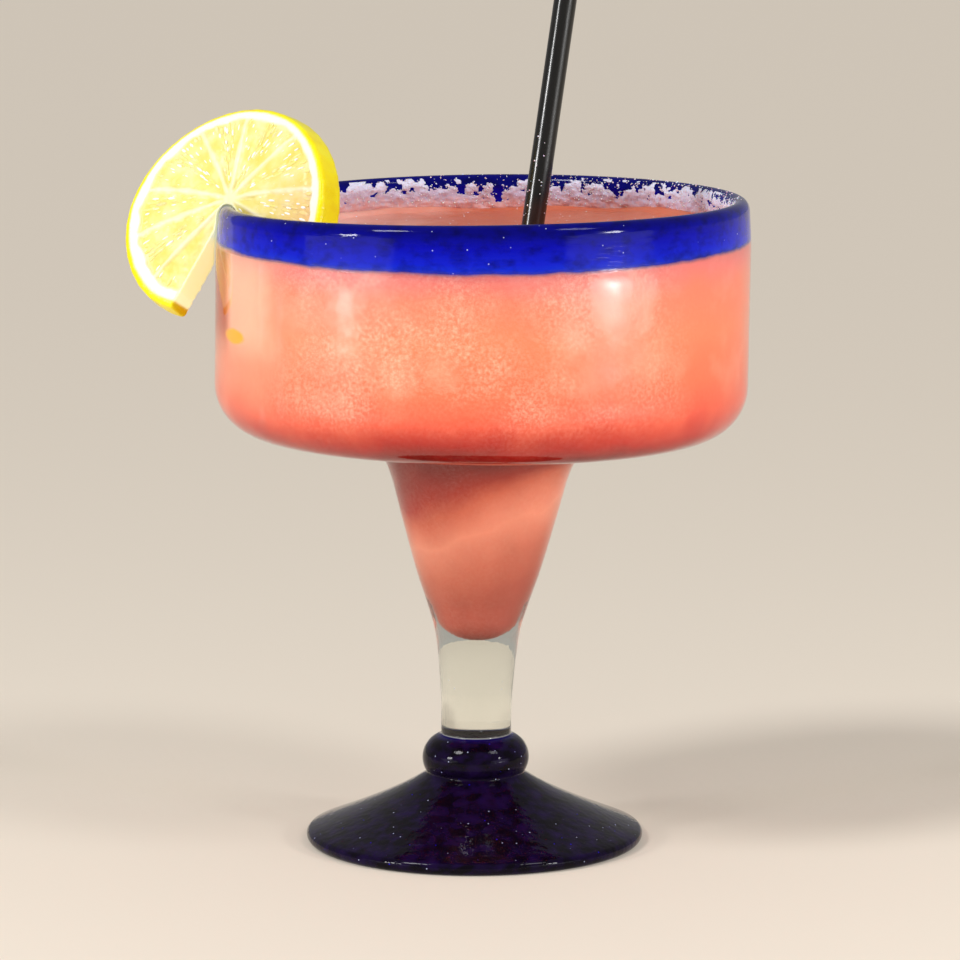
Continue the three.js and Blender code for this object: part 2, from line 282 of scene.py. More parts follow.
def through(points, steps):
    """Points of a smooth curve through all the given ones, with steps between each pair."""
    points = [Vector(p) for p in points]
    last = len(points) - 1
    slopes = [(points[min(i + 1, last)] - points[max(i - 1, 0)]) / 6 for i in range(last + 1)]
    curve = [points[0]]
    for i in range(last):
        handles = points[i] + slopes[i], points[i + 1] - slopes[i + 1]
        curve += interpolate_bezier(points[i], *handles, points[i + 1], steps + 1)[1:]
    return [tuple(p) for p in curve]


def straight(start, end, steps):
    """Evenly spaced points between two, without the first."""
    return [tuple(Vector(start).lerp(Vector(end), (i + 1) / steps)) for i in range(steps)]


# %% The goblet's profile
# cavity_profile draws the inside. A negative inset makes it larger, which the drink uses to
# reach just into the wall, because a real liquid leaves no air against its glass.


def cavity_profile(inset):
    wall_radius = BOWL_RADIUS - WALL - inset
    floor_z = UNDERSIDE_Z + WALL + inset
    corner = BOWL_CORNER - WALL
    cone = [(r - inset, z) for r, z in CONE_OUTLINE]
    tip = CAVITY_TIP_RADIUS - inset
    return [
        *arc(wall_radius - corner, floor_z + corner, corner, corner, 0, -90, 12),
        *bend((FLOOR_EDGE_RADIUS, floor_z), (FLOOR_CONTROL_RADIUS, floor_z), cone[0], 14),
        *through(cone, 5)[1:],
        *arc(0, CAVITY_BOTTOM_Z + CAVITY_TIP_RADIUS, tip, tip, -10, -90, 9),
    ]


def glass_profile():
    foot_centre = FOOT_RADIUS - FOOT_EDGE_RADIUS
    foot_edge = arc(foot_centre, FOOT_EDGE_RADIUS, FOOT_EDGE_RADIUS, FOOT_EDGE_RADIUS, -90, 62, 12)
    under_bowl = (UNDERSIDE_INNER_RADIUS, UNDERSIDE_Z)
    corner_centre = BOWL_RADIUS - BOWL_CORNER, UNDERSIDE_Z + BOWL_CORNER
    return [
        (0, 0),
        *foot_edge,
        *bend(foot_edge[-1], FOOT_CONTROL, (KNOP_WAIST_RADIUS, FOOT_TOP_Z), 16)[1:],
        *arc(KNOP_RADIUS - KNOP_ROUND, KNOP_Z, KNOP_ROUND, KNOP_HALF_HEIGHT, -35, 78, 16),
        *through(STEM_OUTLINE, 5),
        *bend(STEM_OUTLINE[-1], (FLARE_CONTROL_RADIUS, UNDERSIDE_Z), under_bowl, 12)[1:],
        *arc(*corner_centre, BOWL_CORNER, BOWL_CORNER, -90, 0, 14),
        *straight((BOWL_RADIUS, corner_centre[1]), (BOWL_RADIUS, OUTER_LIP_START_Z), 8),
        *arc(LIP_RING_RADIUS, LIP_Z, LIP_HALF_WIDTH, LIP_HALF_HEIGHT, 0, 180, 22),
        (BOWL_RADIUS - WALL, INNER_LIP_START_Z),
        *cavity_profile(0),
    ]


print("points in the goblet's profile:", len(glass_profile()))

# %% [markdown]
# A spin gives a perfect solid of revolution, and no blown goblet is one. The last step
# leans it by a hair, tilts the bowl, and lets the rim sag at two sides. The drink gets the
# same treatment, so that it still fits its glass.

# %% Spin a profile, and the maker's hand
LEAN = 0.015
FLOOR_TILT = -0.009
FLOOR_TILT_START_Z = 88
RIM_TILT = 0.0115
RIM_TILT_START_Z = 108
RIM_SAG = 0.6
RIM_SAG_START_Z = 140
LEVEL_Z = 146


def turned(profile, steps):
    """The sheet that a chain of (radius, height) points leaves behind on a turn about +Z."""
    shape = bmesh.new()
    chain = [shape.verts.new((r, 0, z)) for r, z in profile]
    edges = [shape.edges.new(pair) for pair in zip(chain, chain[1:])]
    bmesh.ops.spin(
        shape, geom=chain + edges, cent=(0, 0, 0), axis=(0, 0, 1),
        angle=math.tau, steps=steps, use_merge=True,
    )
    return shape


def spun(profile, steps):
    """A closed shape turned about +Z, with its doubled points merged."""
    shape = turned(profile, steps)
    bmesh.ops.remove_doubles(shape, verts=shape.verts, dist=0.001)
    bmesh.ops.recalc_face_normals(shape, faces=shape.faces)
    return shape


def handmade(point):
    """Where a point of a perfect goblet ends up in the real, uneven one."""
    x, y, z = point
    floor_part = FLOOR_TILT * smoothstep(z, FLOOR_TILT_START_Z, UNDERSIDE_Z)
    rim_part = (RIM_TILT - FLOOR_TILT) * smoothstep(z, RIM_TILT_START_Z, LEVEL_Z)
    sag = RIM_SAG * smoothstep(z, RIM_SAG_START_Z, RIM_TOP_Z) * (x / BOWL_RADIUS) ** 2
    return Vector((x + LEAN * z, y, z + (floor_part + rim_part) * x - sag))


def in_goblet(radius, angle, z):
    """A place in the uneven goblet, from its radius, angle and height in a perfect one."""
    return handmade(Vector((radius * math.cos(angle), radius * math.sin(angle), z)))


# %% [markdown]
# Soda-lime glass has an index of refraction of about 1.52 and a mirror-smooth fire polish.
# Cobalt oxide tints it so strongly that a solid knop or foot looks almost black, while the
# thin rim is royal blue. One material does all three, by height: a soft edge where the
# blue thread sank into the clear wall, and a sharp joint where knop meets stem. The blue
# starts a little lower than the glass turns opaque, so the edge fades through violet.
#
# Recycled glass is full of seeds, which are bubbles under a millimetre wide. They are drawn
# as specks in some cells of a Voronoi pattern. The cold bowl has mist, and two pale upright
# streaks on its outside. A lamp's light has to reach the drink, so shadow rays pass
# straight through.

# %% Colours and marks of the glass
GLASS_IOR = 1.52
CLEAR_GLASS = "#F7F8EE"
RIM_BY_HEIGHT = [(144, "#1032C8"), (146.5, "#081AC0"), (150, "#0306A4"), (153.5, "#02026C")]
RIM_LOW = RIM_BY_HEIGHT[0][0]
RIM_SPAN = RIM_BY_HEIGHT[-1][0] - RIM_LOW
COBALT_FOOT = "#07030D"
COBALT_DEEP = "#170830"
JOINT_BLUE = "#0C0850"
RIM_BAND_Z = 144.3
RIM_BAND_RISE = 1.6
KNOP_JOINT_Z = 26.2
SEED_SPACING = 1.6
SEEDS_TOP_Z = 45
CORDS_FROM_Z = 64
CORDS_FULL_Z = 50
MIST_FROM_Z = 98
MIST_FULL_Z = 112
PALE_STREAKS = [(-48.8, 1.1), (-44.4, 1.4)]
STREAK_SWAY = 0.8


def seed_specks(tree, place):
    """Two masks of specks a few tenths of a millimetre wide: pale seeds and blue glints."""
    cells = add(tree, "TexVoronoi", {"Vector": place, "Scale": 1 / (SEED_SPACING * MM)})
    luck = add(tree, "SeparateColor", {0: cells.outputs["Color"]}).outputs
    speck = add(tree, "MapRange", {
        "Value": cells.outputs["Distance"], "From Min": 0.12, "From Max": 0.04,
    }).outputs[0]
    masks = []
    for channel, odds in ((0, 0.2), (1, 0.12)):
        chosen = add(tree, "Math", {0: luck[channel], 1: odds}, operation="LESS_THAN")
        masks.append(add(tree, "Math", {0: speck, 1: chosen.outputs[0]}, operation="MULTIPLY").outputs[0])
    return masks


def pale_upright_streaks(tree, axes, unevenness):
    """Two pale upright streaks on the outside, front left of the bowl."""
    bent = add(tree, "Math", {0: unevenness, 1: STREAK_SWAY * MM, 2: axes[0]}, operation="MULTIPLY_ADD")
    streaks = None
    for x, half_width in PALE_STREAKS:
        away = add(tree, "Math", {0: bent.outputs[0], 1: (STREAK_SWAY / 2 + x) * MM}, operation="SUBTRACT")
        size = add(tree, "Math", {0: away.outputs[0]}, operation="ABSOLUTE")
        streak = add(tree, "MapRange", {
            "Value": size.outputs[0], "From Min": half_width * MM, "From Max": 0.0,
        }).outputs[0]
        streaks = add(tree, "Math", {0: streak, 1: streaks}, operation="ADD").outputs[0] if streaks else streak
    broken = add(tree, "MapRange", {"Value": unevenness, "From Min": 0.4, "From Max": 0.6})
    torn = add(tree, "Math", {0: streaks, 1: broken.outputs[0]}, operation="MULTIPLY")
    front = add(tree, "Math", {0: axes[1], 1: 0.0}, operation="LESS_THAN")
    return add(tree, "Math", {0: torn.outputs[0], 1: front.outputs[0]}, operation="MULTIPLY").outputs[0]


# %% Hand-blown glass
def hand_blown_glass():
    material, tree = new_material("hand_blown_soda_lime_glass")
    place = add(tree, "TexCoord").outputs["Object"]
    axes = add(tree, "SeparateXYZ", {0: place}).outputs
    wander = add(tree, "TexNoise", {"Vector": place, "Scale": 1 / (9 * MM), "Detail": 3.0}).outputs[0]
    across = add(tree, "Math", {0: axes[0], 1: 1 / (BOWL_RADIUS * MM)}, operation="MULTIPLY")
    bowed = add(tree, "Math", {0: across.outputs[0], 1: 2.0}, operation="POWER")
    drop = add(tree, "Math", {0: bowed.outputs[0], 1: RIM_BAND_RISE * MM}, operation="MULTIPLY")
    height = add(tree, "Math", {0: axes[2], 1: drop.outputs[0]}, operation="SUBTRACT")
    level = add(tree, "Math", {0: wander, 1: 1.2 * MM, 2: height.outputs[0]},
                operation="MULTIPLY_ADD").outputs[0]
    blue = add(tree, "MapRange", {
        "Value": level, "From Min": (RIM_BAND_Z - 0.8) * MM, "From Max": (RIM_BAND_Z + 0.3) * MM,
    }, interpolation_type="SMOOTHSTEP").outputs[0]
    opaque = add(tree, "MapRange", {
        "Value": level, "From Min": (RIM_BAND_Z - 0.5) * MM, "From Max": (RIM_BAND_Z + 1.1) * MM,
    }, interpolation_type="SMOOTHSTEP").outputs[0]
    foot = add(tree, "MapRange", {
        "Value": axes[2],
        "From Min": (KNOP_JOINT_Z + 0.25) * MM,
        "From Max": (KNOP_JOINT_Z - 0.25) * MM,
    }, interpolation_type="SMOOTHSTEP").outputs[0]
    rim_level = add(tree, "MapRange", {
        "Value": level, "From Min": RIM_LOW * MM, "From Max": (RIM_LOW + RIM_SPAN) * MM,
    })
    rim_blue = add(tree, "ValToRGB", {0: rim_level.outputs[0]}, stops=[
        ((z - RIM_LOW) / RIM_SPAN, srgb(code)) for z, code in RIM_BY_HEIGHT
    ])
    wound = add(tree, "Mapping", {"Vector": place, "Scale": (1.0, 1.0, 1.6)})
    depth = add(tree, "TexNoise", {"Vector": wound.outputs[0], "Scale": 1 / (3.6 * MM), "Detail": 4.0})
    patches = add(tree, "ValToRGB", {0: depth.outputs[0]}, stops=[
        (0.3, srgb("#7C7C96")), (0.55, srgb("#F4F4FF")), (0.7, srgb("#FFFFFF")),
    ])
    patchy = add(tree, "Mix", {0: 0.7, 6: rim_blue.outputs[0], 7: patches.outputs[0]},
                 data_type="RGBA", blend_type="MULTIPLY")
    foot_blue = add(tree, "ValToRGB", {0: depth.outputs[0]}, stops=[
        (0.4, srgb(COBALT_FOOT)), (0.7, srgb(COBALT_DEEP)),
    ])
    near_joint = add(tree, "MapRange", {
        "Value": axes[2], "From Min": (KNOP_JOINT_Z - 1) * MM, "From Max": KNOP_JOINT_Z * MM,
    })
    jointed = add(tree, "Mix", {0: near_joint.outputs[0], 6: foot_blue.outputs[0], 7: srgb(JOINT_BLUE)},
                  data_type="RGBA")
    with_rim = add(tree, "Mix", {0: blue, 6: srgb(CLEAR_GLASS), 7: patchy.outputs[2]}, data_type="RGBA")
    plain = add(tree, "Mix", {0: foot, 6: with_rim.outputs[2], 7: jointed.outputs[2]}, data_type="RGBA")
    seeds, glints = seed_specks(tree, place)
    lit = add(tree, "Math", {0: glints, 1: foot}, operation="MULTIPLY")
    sparkling = add(tree, "Mix", {0: lit.outputs[0], 6: plain.outputs[2], 7: srgb("#1C12D8")},
                    data_type="RGBA")
    seeded = add(tree, "Math", {0: axes[2], 1: SEEDS_TOP_Z * MM}, operation="LESS_THAN")
    solid = add(tree, "Math", {0: seeded.outputs[0], 1: opaque}, operation="MAXIMUM")
    pale = add(tree, "Math", {0: seeds, 1: solid.outputs[0]}, operation="MULTIPLY").outputs[0]
    tint = add(tree, "Mix", {0: pale, 6: sparkling.outputs[2], 7: srgb("#B9C0E2")},
               data_type="RGBA").outputs[2]
    on_bowl = add(tree, "MapRange", {
        "Value": axes[2], "From Min": MIST_FROM_Z * MM, "From Max": MIST_FULL_Z * MM,
    }, interpolation_type="SMOOTHSTEP").outputs[0]
    streaks = pale_upright_streaks(tree, axes, wander)
    streaked = add(tree, "Math", {0: streaks, 1: on_bowl}, operation="MULTIPLY").outputs[0]
    clearness = add(tree, "Math", {0: opaque, 1: -0.95, 2: 1.0}, operation="MULTIPLY_ADD").outputs[0]
    for mask, share in ((foot, -1.0), (pale, -0.6), (streaked, -0.07)):
        clearness = add(tree, "Math", {0: mask, 1: share, 2: clearness},
                        operation="MULTIPLY_ADD").outputs[0]
    transmission = add(tree, "Clamp", {0: clearness, 1: 0.0, 2: 1.0})
    misty = add(tree, "Math", {0: on_bowl, 1: wander}, operation="MULTIPLY")
    gloss = add(tree, "Math", {0: misty.outputs[0], 1: 0.13, 2: 0.02}, operation="MULTIPLY_ADD")
    ripple = add(tree, "TexNoise", {"Vector": place, "Scale": 1 / (16 * MM), "Detail": 1.5})
    waviness = add(tree, "Bump", {"Height": ripple.outputs[0], "Strength": 0.35, "Distance": 0.5 * MM})
    threads = add(tree, "Mapping", {"Vector": place, "Scale": (0.09, 0.09, 1.0)})
    thread = add(tree, "TexNoise", {"Vector": threads.outputs[0], "Scale": 1 / (0.6 * MM), "Detail": 2.0})
    thread_height = add(tree, "Math", {0: thread.outputs[0], 1: blue}, operation="MULTIPLY")
    wound_relief = add(tree, "Bump", {
        "Height": thread_height.outputs[0], "Strength": 0.3, "Distance": 0.12 * MM,
        "Normal": waviness.outputs[0],
    })
    on_stem = add(tree, "MapRange", {
        "Value": axes[2], "From Min": CORDS_FROM_Z * MM, "From Max": CORDS_FULL_Z * MM,
    }).outputs[0]
    drawn = add(tree, "Mapping", {"Vector": place, "Scale": (1.0, 1.0, 0.05)})
    cord = add(tree, "TexNoise", {"Vector": drawn.outputs[0], "Scale": 1 / (1.6 * MM), "Detail": 2.0})
    cord_height = add(tree, "Math", {0: cord.outputs[0], 1: on_stem}, operation="MULTIPLY")
    drawn_relief = add(tree, "Bump", {
        "Height": cord_height.outputs[0], "Strength": 0.35, "Distance": 0.25 * MM,
        "Normal": wound_relief.outputs[0],
    })
    shader = add(tree, "BsdfPrincipled", {
        "Base Color": tint, "Roughness": gloss.outputs[0], "IOR": GLASS_IOR, "Specular IOR Level": 0.1,
        "Transmission Weight": transmission.outputs[0], "Normal": drawn_relief.outputs[0],
    })
    lighter = add(tree, "Mix", {0: 0.55, 6: tint, 7: srgb("#FFFFFF")}, data_type="RGBA")
    passing = add(tree, "BsdfTransparent", {"Color": lighter.outputs[2]})
    ray = add(tree, "LightPath").outputs["Is Shadow Ray"]
    mixed = add(tree, "MixShader", {0: ray, 1: shader.outputs[0], 2: passing.outputs[0]})
    add(tree, "OutputMaterial", {"Surface": mixed.outputs[0]})
    return material


# %% Make the goblet
goblet_shape = spun(glass_profile(), GLASS_STEPS)
for vertex in goblet_shape.verts:
    vertex.co = handmade(vertex.co)
goblet = finish_piece("goblet", goblet_shape, hand_blown_glass())
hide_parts("glass")

# %% [markdown]
# ## The frozen drink
#
# Blended ice, fruit and syrup make a slush: tiny grains of ice in a coloured syrup. It
# fills the bowl and the hollow cone, and its top is dished and lumpy, with a crust up the
# wall where it was poured. The body is spun from the goblet's own cavity, a hair larger,
# and its top is then moved up and down by noise at the size of the lumps and the grains.

# %% Sizes of the drink
DRINK_INTO_WALL = 0.15
DRINK_STEPS = 320
SURFACE_DISH = 1.0
SURFACE_SLOPE = 0.012
SURFACE_WAVE = 0.5
WAVE_ACROSS = 9
WAVE_DEEP = 11
COLLAR_HEIGHT = 2.2
COLLAR_THICKNESS = 1.3
COLLAR_WIDTH = 3
SIDE_LOW_Z = 112
SURFACE_STEPS = 70
COLLAR_STEPS = 6
SIDE_STEPS = 18
WALL_RADIUS = BOWL_RADIUS - WALL


def surface_rise(x, y):
    """Height of the slush above its level, in its large forms."""
    wall_radius = WALL_RADIUS - 0.3
    r = math.hypot(x, y)
    angle = math.atan2(y, x)
    dish = -SURFACE_DISH * (1 - (r / wall_radius) ** 2)
    wave = SURFACE_WAVE * math.sin(x / WAVE_ACROSS + 0.7) * math.cos(y / WAVE_DEEP - 0.4)
    patch = 0.55 + 0.3 * math.sin(3 * angle + 0.6) + 0.15 * math.sin(11 * angle)
    back = 0.6 + 0.4 * math.sin(angle)
    near_wall = smoothstep(r, wall_radius - 2 * COLLAR_THICKNESS, wall_radius - COLLAR_THICKNESS / 2)
    return dish + wave + SURFACE_SLOPE * x + COLLAR_HEIGHT * patch * back * near_wall


def grain(x, y, size):
    """Noise from -1 to 1 whose lumps are about size millimetres wide."""
    return noise.noise(Vector((x / size, y / size, 3.7)))


def slush_relief(x, y):
    """Height of the lumps, the grains and the finest ice on the surface."""
    return 0.35 * grain(x, y, 8.0) + 0.13 * grain(x, y, 2.4) + 0.08 * grain(x, y, 1.1)


# %% [markdown]
# Slush scatters light inside, so it glows instead of looking painted: a little subsurface
# scattering does that. Its colour is not even, and part of what changes with height is
# painted light and shade. Through the glass it is pinker under the rim, a painted tint of
# the light through the blue rim; coral in the middle; deep red where the bowl turns into the
# cone, which is painted shade under the bowl; and paler again below, partly painted light
# where the front lamps reach into the cone. Pale grains of ice about a millimetre wide crowd
# the front of the bowl, and it is smoother at its sides. At the left the sunk half of the
# lemon shines through, and low at the left a dusty pink is a painted haze reflection.

# %% Colours of the slush
# Painted light and shade are in these colours: the deep red from 89 to 104 mm is painted shade under the
# bowl, the pale coral at 77 mm is painted light in the cone, and the pink at the top is a painted tint of
# light through the rim.
SLUSH_AND_SHADE_BY_HEIGHT = [
    (50, "#B24A3A"), (60, "#C25843"), (69, "#DA7258"), (77, "#FC9B7F"), (84, "#DC6A4C"),
    (89, "#B22A14"), (94, "#981604"), (100, "#8C0E00"), (104, "#CE1E08"), (108.5, "#E85A3E"),
    (116, "#EE7652"), (127, "#F08660"), (137, "#F08266"), (142.5, "#F07E78"), (146, "#EE8078"),
]
SLUSH_LOW = SLUSH_AND_SHADE_BY_HEIGHT[0][0]
SLUSH_SPAN = SLUSH_AND_SHADE_BY_HEIGHT[-1][0] - SLUSH_LOW
CONE_SHADE_TILT = -0.45
SIDE_HAZE_REFLECTION = "#E2937A"
ICE_PALE = "#FFD8C2"
ICE_GRAIN = 0.8
LEMON_GLOW = "#F9B49C"
LEMON_SHADE = "#AE4C28"
ZEST_SPOT = Vector((-53.3, -22.6, 124.8))
ZEST_SPOT_RADIUS = 1.9


def ice_mottle(tree, place, axes):
    """How much pale ice shows: fine grains that crowd the middle of the front."""
    fine = add(tree, "TexNoise", {
        "Vector": place, "Scale": 1 / (ICE_GRAIN * MM), "Detail": 5.0, "Roughness": 0.75,
    })
    grains = add(tree, "MapRange", {"Value": fine.outputs[0], "From Min": 0.42, "From Max": 0.66})
    in_bowl = add(tree, "MapRange", {
        "Value": axes[2], "From Min": 106 * MM, "From Max": 113 * MM, "To Min": 0.15,
    })
    grainy = add(tree, "Math", {0: grains.outputs[0], 1: in_bowl.outputs[0]}, operation="MULTIPLY")
    zone = add(tree, "TexNoise", {"Vector": place, "Scale": 1 / (15 * MM), "Detail": 3.0})
    zoned = add(tree, "MapRange", {
        "Value": zone.outputs[0], "From Min": 0.36, "From Max": 0.6, "To Min": 0.2,
    })
    sideways = add(tree, "Math", {0: axes[0]}, operation="ABSOLUTE")
    middle = add(tree, "MapRange", {
        "Value": sideways.outputs[0], "From Min": 54 * MM, "From Max": 28 * MM, "To Min": 0.1,
    }, interpolation_type="SMOOTHSTEP")
    crowd = add(tree, "Math", {0: zoned.outputs[0], 1: middle.outputs[0]}, operation="MULTIPLY")
    return add(tree, "Math", {0: grainy.outputs[0], 1: crowd.outputs[0]}, operation="MULTIPLY").outputs[0]


def lemon_shine(tree, place, axes, clouds, above_corner, base):
    """Peach where the lemon lies behind the wall, a painted haze reflection, a darker edge, and its zest
    at one spot.
    """
    bent = add(tree, "Math", {0: clouds, 1: 8 * MM, 2: axes[0]}, operation="MULTIPLY_ADD").outputs[0]
    near = add(tree, "MapRange", {
        "Value": bent, "From Min": -38.5 * MM, "From Max": -45.5 * MM,
    }, interpolation_type="SMOOTHSTEP")
    high = add(tree, "MapRange", {
        "Value": axes[2], "From Min": 117 * MM, "From Max": 128 * MM,
    }, interpolation_type="SMOOTHSTEP")
    front = add(tree, "MapRange", {"Value": axes[1], "From Min": -4 * MM, "From Max": -12 * MM})
    glow = add(tree, "Math", {0: near.outputs[0], 1: high.outputs[0]}, operation="MULTIPLY")
    shown = add(tree, "Math", {0: glow.outputs[0], 1: front.outputs[0]}, operation="MULTIPLY")
    # Low at the left, above the corner, a dusty pink is a painted haze reflection on the bowl.
    haze_reflection = add(tree, "MapRange", {
        "Value": bent, "From Min": -34 * MM, "From Max": -48 * MM, "To Max": 0.8,
    }, interpolation_type="SMOOTHSTEP")
    haze_share = add(tree, "Math", {0: haze_reflection.outputs[0], 1: above_corner}, operation="MULTIPLY")
    side = add(tree, "Mix", {0: haze_share.outputs[0], 6: base, 7: srgb(SIDE_HAZE_REFLECTION)}, data_type="RGBA")
    peach = add(tree, "Mix", {0: shown.outputs[0], 6: side.outputs[2], 7: srgb(LEMON_GLOW)},
                data_type="RGBA")
    outer = add(tree, "MapRange", {
        "Value": axes[0], "From Min": -54 * MM, "From Max": -56 * MM,
    }, interpolation_type="SMOOTHSTEP")
    edge = add(tree, "Math", {0: outer.outputs[0], 1: high.outputs[0]}, operation="MULTIPLY")
    shaded = add(tree, "Mix", {0: edge.outputs[0], 6: peach.outputs[2], 7: srgb(LEMON_SHADE)},
                 data_type="RGBA")
    seen = Vector((0.8, 0.25, 1.2))
    squashed = add(tree, "VectorMath", {0: place, 1: tuple(seen)}, operation="MULTIPLY")
    centre = tuple(ZEST_SPOT * MM * seen)
    gap = add(tree, "VectorMath", {0: squashed.outputs[0], 1: centre}, operation="DISTANCE")
    torn = add(tree, "Math", {0: clouds, 1: 3 * MM, 2: gap.outputs["Value"]}, operation="MULTIPLY_ADD")
    spot = add(tree, "MapRange", {
        "Value": torn.outputs[0],
        "From Min": (ZEST_SPOT_RADIUS + 2) * MM, "From Max": (ZEST_SPOT_RADIUS + 1.2) * MM,
    })
    return add(tree, "Mix", {0: spot.outputs[0], 6: shaded.outputs[2], 7: srgb("#F2B020")},
               data_type="RGBA").outputs[2]


# %% Icy slush
def icy_slush():
    material, tree = new_material("coral_pink_ice_slush")
    place = add(tree, "TexCoord").outputs["Object"]
    axes = add(tree, "SeparateXYZ", {0: place}).outputs
    clouds = add(tree, "TexNoise", {"Vector": place, "Scale": 1 / (14 * MM), "Detail": 4.0}).outputs[0]
    shift = add(tree, "Math", {0: clouds, 1: 9 * MM, 2: -4.5 * MM}, operation="MULTIPLY_ADD")
    wavy = add(tree, "Math", {0: axes[2], 1: shift.outputs[0]}, operation="ADD")
    # In the cone the bands tilt across, so that the painted shade under the bowl lies lower at the left.
    in_cone = add(tree, "MapRange", {
        "Value": axes[2], "From Min": 99 * MM, "From Max": 92 * MM, "To Max": CONE_SHADE_TILT,
    })
    shifted = add(tree, "Math", {0: axes[0], 1: in_cone.outputs[0], 2: wavy.outputs[0]},
                  operation="MULTIPLY_ADD")
    level = add(tree, "MapRange", {
        "Value": shifted.outputs[0], "From Min": SLUSH_LOW * MM, "From Max": (SLUSH_LOW + SLUSH_SPAN) * MM,
    }).outputs[0]
    shaded_bands = add(tree, "ValToRGB", {0: level}, stops=[
        ((z - SLUSH_LOW) / SLUSH_SPAN, srgb(code)) for z, code in SLUSH_AND_SHADE_BY_HEIGHT
    ])
    paler = add(tree, "MapRange", {
        "Value": clouds, "From Min": 0.5, "From Max": 0.72, "To Max": 0.3,
    })
    in_bowl = add(tree, "MapRange", {"Value": axes[2], "From Min": 106 * MM, "From Max": 116 * MM})
    blotch = add(tree, "Math", {0: paler.outputs[0], 1: in_bowl.outputs[0]}, operation="MULTIPLY")
    cloudy = add(tree, "Mix", {0: blotch.outputs[0], 6: shaded_bands.outputs[0], 7: srgb("#FFBFA6")},
                 data_type="RGBA")
    ice = ice_mottle(tree, place, axes)
    share = add(tree, "Math", {0: ice, 1: 0.5}, operation="MULTIPLY")
    icy = add(tree, "Mix", {0: share.outputs[0], 6: cloudy.outputs[2], 7: srgb(ICE_PALE)},
              data_type="RGBA")
    side = lemon_shine(tree, place, axes, clouds, in_bowl.outputs[0], icy.outputs[2])
    # The top is pale pink at the left and darker orange across the middle, which is a painted shadow on
    # the surface.
    across = add(tree, "Math", {0: clouds, 1: 50 * MM, 2: axes[0]}, operation="MULTIPLY_ADD")
    skin_place = add(tree, "MapRange", {
        "Value": across.outputs[0], "From Min": -40 * MM, "From Max": 80 * MM,
    })
    skin_and_shadow = add(tree, "ValToRGB", {0: skin_place.outputs[0]}, stops=[
        (0.1, srgb("#FACABE")), (0.26, srgb("#F0B2A4")), (0.52, srgb("#CE6A4C")), (0.9, srgb("#DA7C60")),
    ])
    on_top = add(tree, "Attribute", attribute_name="surface").outputs["Fac"]
    colour = add(tree, "Mix", {0: on_top, 6: side, 7: skin_and_shadow.outputs[0]}, data_type="RGBA").outputs[2]
    relief = add(tree, "Bump", {"Height": ice, "Strength": 0.25, "Distance": 0.2 * MM})
    shader = add(tree, "BsdfPrincipled", {
        "Base Color": colour, "Roughness": 0.38, "IOR": 1.33, "Normal": relief.outputs[0],
        "Subsurface Weight": 0.3, "Subsurface Radius": (1.0, 0.45, 0.3), "Subsurface Scale": 2 * MM,
    })
    add(tree, "OutputMaterial", {"Surface": shader.outputs[0]})
    return material


# %% Make the drink
def drink_profile():
    collar_start = (WALL_RADIUS - COLLAR_WIDTH, LEVEL_Z)
    outer_edge = (WALL_RADIUS + DRINK_INTO_WALL, LEVEL_Z)
    return [
        (0, LEVEL_Z),
        *straight((0, LEVEL_Z), collar_start, SURFACE_STEPS),
        *straight(collar_start, outer_edge, COLLAR_STEPS),
        *straight(outer_edge, (outer_edge[0], SIDE_LOW_Z), SIDE_STEPS),
        *cavity_profile(-DRINK_INTO_WALL),
    ]


def inside_radius(z):
    """Radius of the glass inside at a height on or above the drink's level."""
    if z < INNER_LIP_START_Z:
        return WALL_RADIUS
    if z < LIP_Z:
        climb = (z - INNER_LIP_START_Z) / (LIP_Z - INNER_LIP_START_Z)
        return WALL_RADIUS + climb * (LIP_RING_RADIUS - LIP_HALF_WIDTH - WALL_RADIUS)
    lift = min(1.0, (z - LIP_Z) / LIP_HALF_HEIGHT)
    return LIP_RING_RADIUS - LIP_HALF_WIDTH * math.sqrt(1 - lift * lift)


drink_shape = spun(drink_profile(), DRINK_STEPS)
surface_mask = drink_shape.verts.layers.float.new("surface")
for vertex in drink_shape.verts:
    x, y, z = vertex.co
    if z > LEVEL_Z - 0.01:
        vertex[surface_mask] = 1.0
        fade = 1 - smoothstep(math.hypot(x, y), WALL_RADIUS - 1.5, WALL_RADIUS)
        z += surface_rise(x, y) + slush_relief(x, y) * (0.3 + 0.7 * fade)
        limit = inside_radius(z) + DRINK_INTO_WALL
        pull_in = min(1.0, limit / max(math.hypot(x, y), 1.0))
        vertex.co = Vector((x * pull_in, y * pull_in, z))
    vertex.co = handmade(vertex.co)
drink = finish_piece("slush", drink_shape, icy_slush())
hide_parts("frozen_drink")

# %% [markdown]
# ## Ice left on the wall
#
# When the slush is poured it runs up the wall and sinks back, and leaves a frosty film with
# an uneven top edge, and torn patches above it almost up to the crest. The film is a strip
# of faces on the wall's own radius, and noise gives it its depth. Where the depth is below
# zero there is no film: whole faces are deleted, and the edge of the rest dips just into
# the glass, so that what shows is the smooth line where film and wall meet.

# %% Icy film above the level
FILM_LOW_Z = 144.6
FILM_HIGH_Z = 154.2
FILM_STEPS = 620
FILM_ROWS = 46
FILM_THICKNESS = 0.6
FILM_RISE = 6.2
FILM_FADE = 5.2
FILM_LUMPS = [(2.4, 0.5), (1.2, 0.4), (0.6, 0.2)]
FILM_EDGE_SUNK = 0.07
FILM_BACK_SUNK = 0.25


def film_top(angle):
    """Height that the film reaches at an angle round the rim."""
    ring = Vector((math.cos(angle), math.sin(angle), 0.0))
    slow = noise.noise(ring * 4.0 + Vector((1.3, 0, 5.1)))
    quick = noise.noise(ring * 15.0 + Vector((0, 2.2, 9.4)))
    return LEVEL_Z + FILM_RISE + 1.8 * slow + 1.6 * quick


